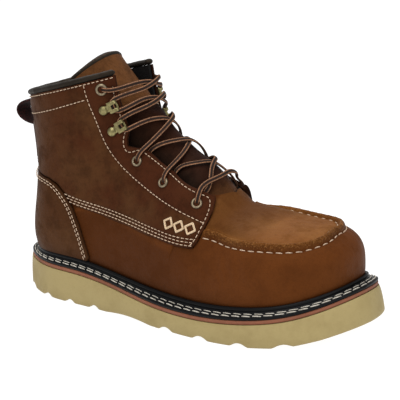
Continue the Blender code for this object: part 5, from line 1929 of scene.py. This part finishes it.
def add_camera():
    azimuth, elevation, roll = np.radians([CAMERA_AZIMUTH, CAMERA_ELEVATION, CAMERA_ROLL])
    level_back = np.array([math.sin(azimuth), -math.cos(azimuth), 0.0])
    back = level_back * math.cos(elevation) + np.array([0.0, 0.0, math.sin(elevation)])
    right = np.array([math.cos(azimuth), math.sin(azimuth), 0.0])
    up = np.cross(back, right)
    turned = right * math.cos(roll) + up * math.sin(roll)
    up = up * math.cos(roll) - right * math.sin(roll)
    lens = bpy.data.cameras.new("photo_camera")
    lens.sensor_width = SENSOR
    lens.lens = CAMERA_FOCAL / IMAGE_SIZE * SENSOR
    lens.shift_x = 0.5 - CAMERA_MIDDLE[0] / IMAGE_SIZE
    lens.shift_y = CAMERA_MIDDLE[1] / IMAGE_SIZE - 0.5
    camera = bpy.data.objects.new("photo_camera", lens)
    spot = place(np.array(CAMERA_TARGET) + back * CAMERA_DISTANCE)
    camera.matrix_world = pose_matrix(turned, up, back, spot)
    bpy.context.scene.collection.objects.link(camera)
    bpy.context.scene.camera = camera


# Lights: name, place in metres, size in metres, power in watts; all look at the boot.
LIGHTS = (
    ("top", (0.05, -0.25, 1.50), 1.2, 11.0),
    ("key", (0.20, -1.05, 0.95), 0.9, 5.5),
    ("fill", (1.15, -0.25, 0.65), 0.8, 3.0),
    ("back", (-0.75, 0.60, 1.10), 0.9, 5.0),
)
LIGHT_TARGET = (0.0, 0.0, 0.07)
WORLD_STRENGTH = 0.42
FLOOR_GLOW = 0.95
FLOOR_HALF = 12.0
FLOOR_GREY = (0.2, 0.2, 0.2, 1.0)
WHITE = (1.0, 1.0, 1.0, 1.0)


def add_lights():
    for name, spot, size, power in LIGHTS:
        light = bpy.data.lights.new(name, "AREA")
        light.shape = "DISK"
        light.size = size
        light.energy = power
        lamp = bpy.data.objects.new(name, light)
        back = unit(np.array(spot) - np.array(LIGHT_TARGET))
        right = unit(np.cross([0.0, 0.0, 1.0], back))
        lamp.matrix_world = pose_matrix(right, np.cross(back, right), back, spot)
        bpy.context.scene.collection.objects.link(lamp)
    world = bpy.data.worlds.new("studio")
    world.use_nodes = True
    sky = world.node_tree.nodes["Background"]
    sky.inputs["Color"].default_value = WHITE
    sky.inputs["Strength"].default_value = WORLD_STRENGTH
    bpy.context.scene.world = world
    bpy.context.scene.view_settings.view_transform = "Standard"


def add_floor():
    corners = ((-1, -1), (1, -1), (1, 1), (-1, 1))
    mesh = bpy.data.meshes.new("floor")
    mesh.from_pydata([(x * FLOOR_HALF, y * FLOOR_HALF, 0.0) for x, y in corners], [], [(0, 1, 2, 3)])
    paint = Paint("floor_white", roughness=0.95, Specular_IOR_Level=0.1)
    paint.set("Base Color", FLOOR_GREY)
    paint.set("Emission Color", WHITE)
    paint.set("Emission Strength", FLOOR_GLOW)
    mesh.materials.append(paint.material)
    floor = bpy.data.objects.new("floor", mesh)
    bpy.context.scene.collection.objects.link(floor)


add_camera()
seam_rows = make_upper()
sewn_rows = []
for quarter_side, quarter_word in SIDE_WORDS.items():
    sewn_rows += make_quarter(quarter_side, quarter_word)
sewn_rows += make_counter()
make_collar()
sewn_rows += make_tongue()
make_pull_loop()
make_fittings()
make_lace()
welt_rows = make_sole()
make_insole()
make_stitches(sewn_rows, seam_rows, welt_rows)
make_ornament()
add_lights()
add_floor()

bpy.context.view_layer.update()
